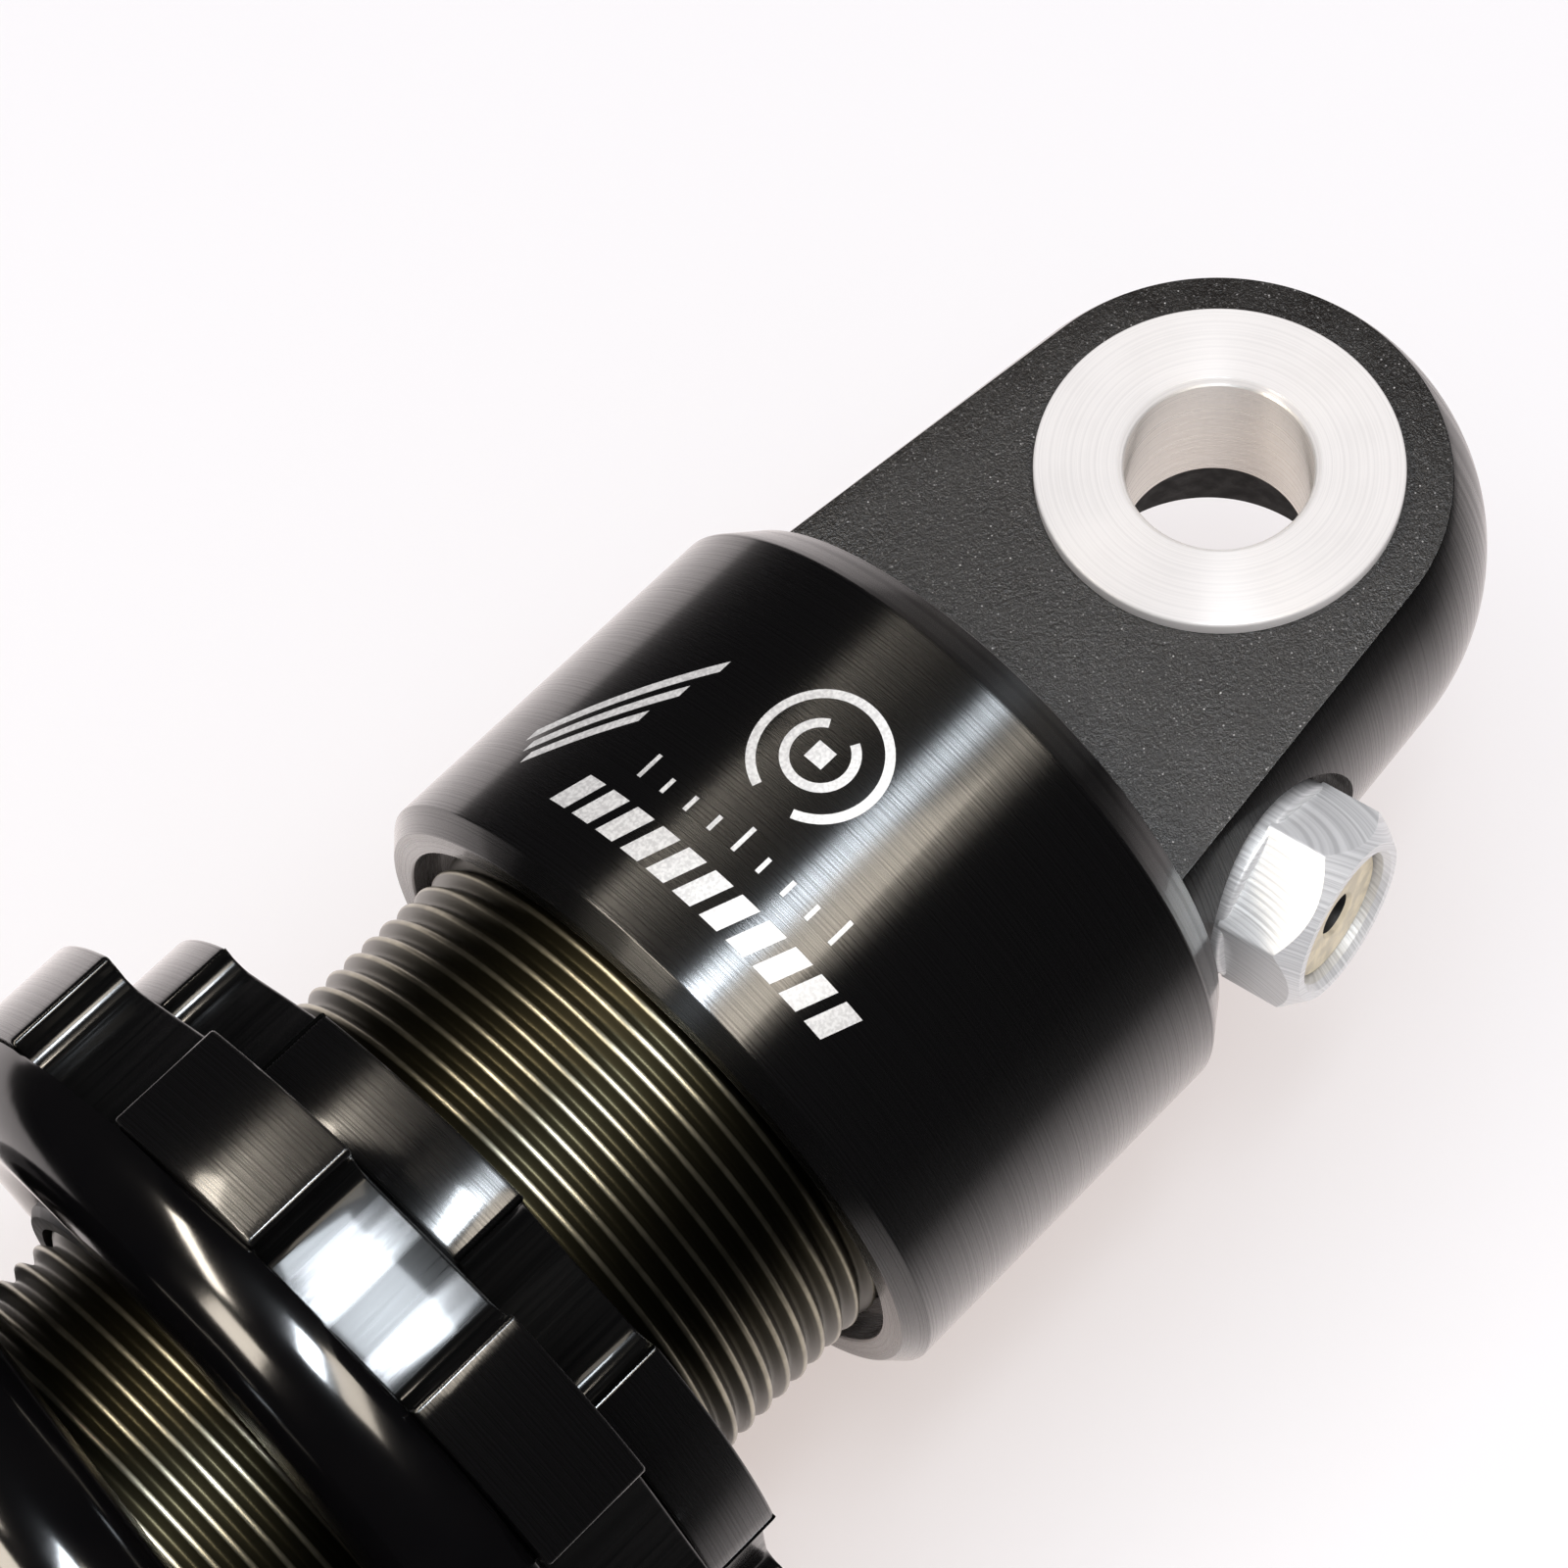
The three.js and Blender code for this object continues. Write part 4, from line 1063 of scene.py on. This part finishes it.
LOWER_SHOULDER = 13.2
LOWER_TOP = EYE_TO_EYE - 146.05
SHAFT_HOLE = 5.04
POCKET_FLOOR = 22.5
LOWER_BARREL = rounded(
    [
        (LOWER_SHOULDER, 0), (LOWER_SHOULDER, HEAD_RADIUS, 1.2), (LOWER_TOP - 0.75, HEAD_RADIUS, 0.1),
        (LOWER_TOP, HEAD_RADIUS - 0.75, 0.1), (LOWER_TOP, 8.9), (POCKET_FLOOR, 8.9, 0.3),
        (POCKET_FLOOR, SHAFT_HOLE), (13.4, SHAFT_HOLE), (13.4, 0),
    ],
    6,
)
lower = make_piece("lower_eye_body", eye_shape(FROM_LOWER, 13.3), TURNED_BLACK, BLASTED_BLACK)
combine(lower, [lathe(LOWER_BARREL, FROM_LOWER, BARREL_SEGMENTS)], "UNION")
WHEEL_SLOT_START, WHEEL_SLOT_END, WHEEL_SLOT_HALF = 152.7, 156.3, 8.4
SCREW_STATION = 148.7
SCREW = Place((EYE_X - SCREW_STATION, 0, 0), (0, -1, 0), (1, 0, 0), (0, 0, 1))
combine(
    lower,
    [
        rod(upright(LOWER_EYE_X), -EYE_CUT, EYE_CUT, EYE_BORE, ROUND),
        box_shape(
            (EYE_X - WHEEL_SLOT_END, -WHEEL_SLOT_HALF, -30), (EYE_X - WHEEL_SLOT_START, WHEEL_SLOT_HALF, 30)
        ),
        rod(SHOCK, 145.0, 151.8, SHAFT_HOLE, ROUND),  # for the shaft, the needle and the set screw
        rod(SHOCK, 150.0, 154.0, 1.6),
        rod(SCREW, 4.5, 20, 2.05),
    ],
    "DIFFERENCE",
)
set_materials(lower, TURNED_BLACK, BLASTED_BLACK)
paint_flats(lower, 1)
on_body(lower, "shaft_assembly", "black_anodised", "lower_eyelet")

screw_profile = rounded([(5.2, 0), (5.2, 1.95, 0.4), (13.2, 1.95, 0.25), (13.2, 0)])
screw = make_piece("socket_set_screw", lathe(screw_profile, SCREW, 64))
combine(screw, [hex_prism(SCREW, 10.8, 14, 1.15, 0.02)], "DIFFERENCE")
set_materials(screw, STEEL)
on_body(screw, "shaft_assembly", "steel", "eyelet_set_screw")

# ---- Rebound wheel ---------------------------------------

WHEEL_START, WHEEL_END, WHEEL_RADIUS = 152.9, 156.1, 8.0
WHEEL_BORE = 1.45
SCALLOPS, SCALLOP_DEPTH = 12, 0.28


def wheel_shape(count=240):
    turn = np.arange(count) / count * 2 * math.pi
    lobes = SCALLOP_DEPTH * np.cos(turn * SCALLOPS)
    rows = []
    for station, inset in (
        (WHEEL_START, 0.3), (WHEEL_START + 0.1, 0.12), (WHEEL_START + 0.3, 0.0),
        (WHEEL_END - 0.3, 0.0), (WHEEL_END - 0.1, 0.12), (WHEEL_END, 0.3),
    ):
        rows.append((station, WHEEL_RADIUS - SCALLOP_DEPTH - inset + lobes))
    for station, inset in (
        (WHEEL_END, 0.15), (WHEEL_END - 0.15, 0.0), (WHEEL_START + 0.15, 0.0), (WHEEL_START, 0.15),
    ):
        rows.append((station, np.full(count, WHEEL_BORE + inset)))
    points = [SHOCK.points(np.full(count, s), r * np.cos(turn), r * np.sin(turn)) for s, r in rows]
    return np.concatenate(points), grid(len(points), count, True)


wheel = make_piece("rebound_thumbwheel", wheel_shape(), RED)
on_body(wheel, "rebound_wheel_body", "red_anodised", "rebound_wheel")

# ---- Looks of the CAD nodes that stay --------------------

KEPT = {
    BRONZE: ("shaft_bearing", "piston_band"),
    BLACK_RUBBER: ("valve_seal", "head_seal", "gland_seal", "floating_piston_ring"),
    GREY_POLYMER: ("shaft_seal",),
    INNER_ALUMINIUM: ("floating_piston", "piston"),
    URETHANE: ("top_out_ring",),
    STEEL: ("piston_nut", "rebound_needle")
    + tuple(f"{kind}_shim_{k}" for kind in ("compression", "rebound") for k in (1, 2, 3)),
}
for material, nodes in KEPT.items():
    for node in nodes:
        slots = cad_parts[node].data.materials
        if len(slots) == 0:
            slots.append(material)
        for k in range(len(slots)):
            slots[k] = material

# ---- Floor, light and camera -----------------------------


def floor_material():
    f = Finish("pale_table", roughness=0.6)
    point = f.here()
    pale = f.mix(f.noise(point, 0.004, 3.0), (0.415, 0.49, 0.54, 1), (0.43, 0.505, 0.555, 1))
    mirrored = f.add("LightPath", output=3)
    aside = f.vector("MULTIPLY", f.vector("ADD", point, (-60, -60, 0)), (0.6, 1, 0))
    far = f.math("MULTIPLY", mirrored, f.ramp(f.vector("LENGTH", aside, output=1), 82, 134))
    f.set("Base Color", f.mix(far, f.mix(mirrored, pale, (0.92, 0.9, 0.9, 1)), (0.02, 0.02, 0.02, 1)))
    f.set("Normal", f.bump(f.noise(point, 0.8, 3.0), 0.01))
    # The table glows softly. Reflections see it brighter close by and dark far off.
    f.set("Emission Color", (0.52, 0.425, 0.375, 1))
    f.set("Emission Strength", f.math("SUBTRACT", 1.0, far))
    return f.material


FLOOR_HALF = 6.0  # metres
corners = [(x * FLOOR_HALF, y * FLOOR_HALF, 0) for x, y in ((-1, -1), (1, -1), (1, 1), (-1, 1))]
floor_mesh = bpy.data.meshes.new("floor")
floor_mesh.from_pydata(corners, [], [(0, 1, 2, 3)])
floor_mesh.materials.append(floor_material())
floor = add_object("floor", floor_mesh)

world = bpy.data.worlds.new("studio")
world.use_nodes = True
scene.world = world
tree = world.node_tree
background = tree.nodes["Background"]
background.inputs["Color"].default_value = (0.93, 0.93, 1.0, 1)
path = tree.nodes.new("ShaderNodeLightPath")
strength = tree.nodes.new("ShaderNodeMapRange")
strength.inputs["To Min"].default_value = 0.75
strength.inputs["To Max"].default_value = 0.02
tree.links.new(path.outputs["Is Glossy Ray"], strength.inputs["Value"])
tree.links.new(strength.outputs[0], background.inputs["Strength"])

WARM, COOL = (1.0, 0.90, 0.76), (0.86, 0.93, 1.0)


def area_light(name, place, aim, size, radiance, colour, soft=False):
    """A rectangular lamp, in metres, seen only in reflections, or only in diffuse light if it is soft."""
    data = bpy.data.lights.new(name, "AREA")
    data.shape = "RECTANGLE"
    data.size, data.size_y = size
    data.energy = radiance * math.pi * size[0] * size[1]
    data.color = colour
    lamp = add_object(name, data)
    lamp.location = place
    lamp.rotation_mode = "QUATERNION"
    lamp.rotation_quaternion = (Vector(aim) - Vector(place)).to_track_quat("-Z", "Y")
    lamp.visible_glossy = not soft
    lamp.visible_diffuse = soft
    lamp.visible_camera = False


AIM = (0.04, 0, AXIS_Z * MM)
area_light("warm_strip_back", (-0.045, 0.122, 0.29), AIM, (0.16, 0.034), 46, WARM)
area_light("cool_core", (0.050, -0.046, 0.29), AIM, (0.10, 0.034), 105, COOL)
area_light("warm_strip_front", (0.086, -0.108, 0.29), AIM, (0.14, 0.062), 16, WARM)
area_light("warm_strip_left", (-0.22, 0.06, 0.25), AIM, (0.09, 0.12), 20, WARM)
area_light("overhead_fill", (0, 0, 1.5), (0, 0, 0), (1.8, 1.8), 1.15, (1, 1, 1), soft=True)

# The camera, placed from the upper eye's centre.
CAMERA_FROM_EYE = Vector((-72.07, -57.06, 157.34))
CAMERA_AZIMUTH, CAMERA_ELEVATION, CAMERA_ROLL = (math.radians(a) for a in (-39.16, 62.72, -7.56))
back = Vector(
    (
        math.sin(CAMERA_AZIMUTH) * math.cos(CAMERA_ELEVATION),
        -math.cos(CAMERA_AZIMUTH) * math.cos(CAMERA_ELEVATION),
        math.sin(CAMERA_ELEVATION),
    )
)
camera_data = bpy.data.cameras.new("camera")
camera_data.sensor_width = 36.0
camera_data.lens = 95.7
camera_data.clip_start = 0.005
camera_data.clip_end = 100
camera = add_object("camera", camera_data)
camera.location = (Vector((EYE_X, 0, AXIS_Z)) + CAMERA_FROM_EYE) * MM
camera.rotation_mode = "QUATERNION"
roll = Matrix.Rotation(CAMERA_ROLL, 3, "Z").to_quaternion()
camera.rotation_quaternion = (-back).to_track_quat("-Z", "Y") @ roll
scene.camera = camera

scene.view_settings.view_transform = "Standard"
scene.view_settings.look = "None"
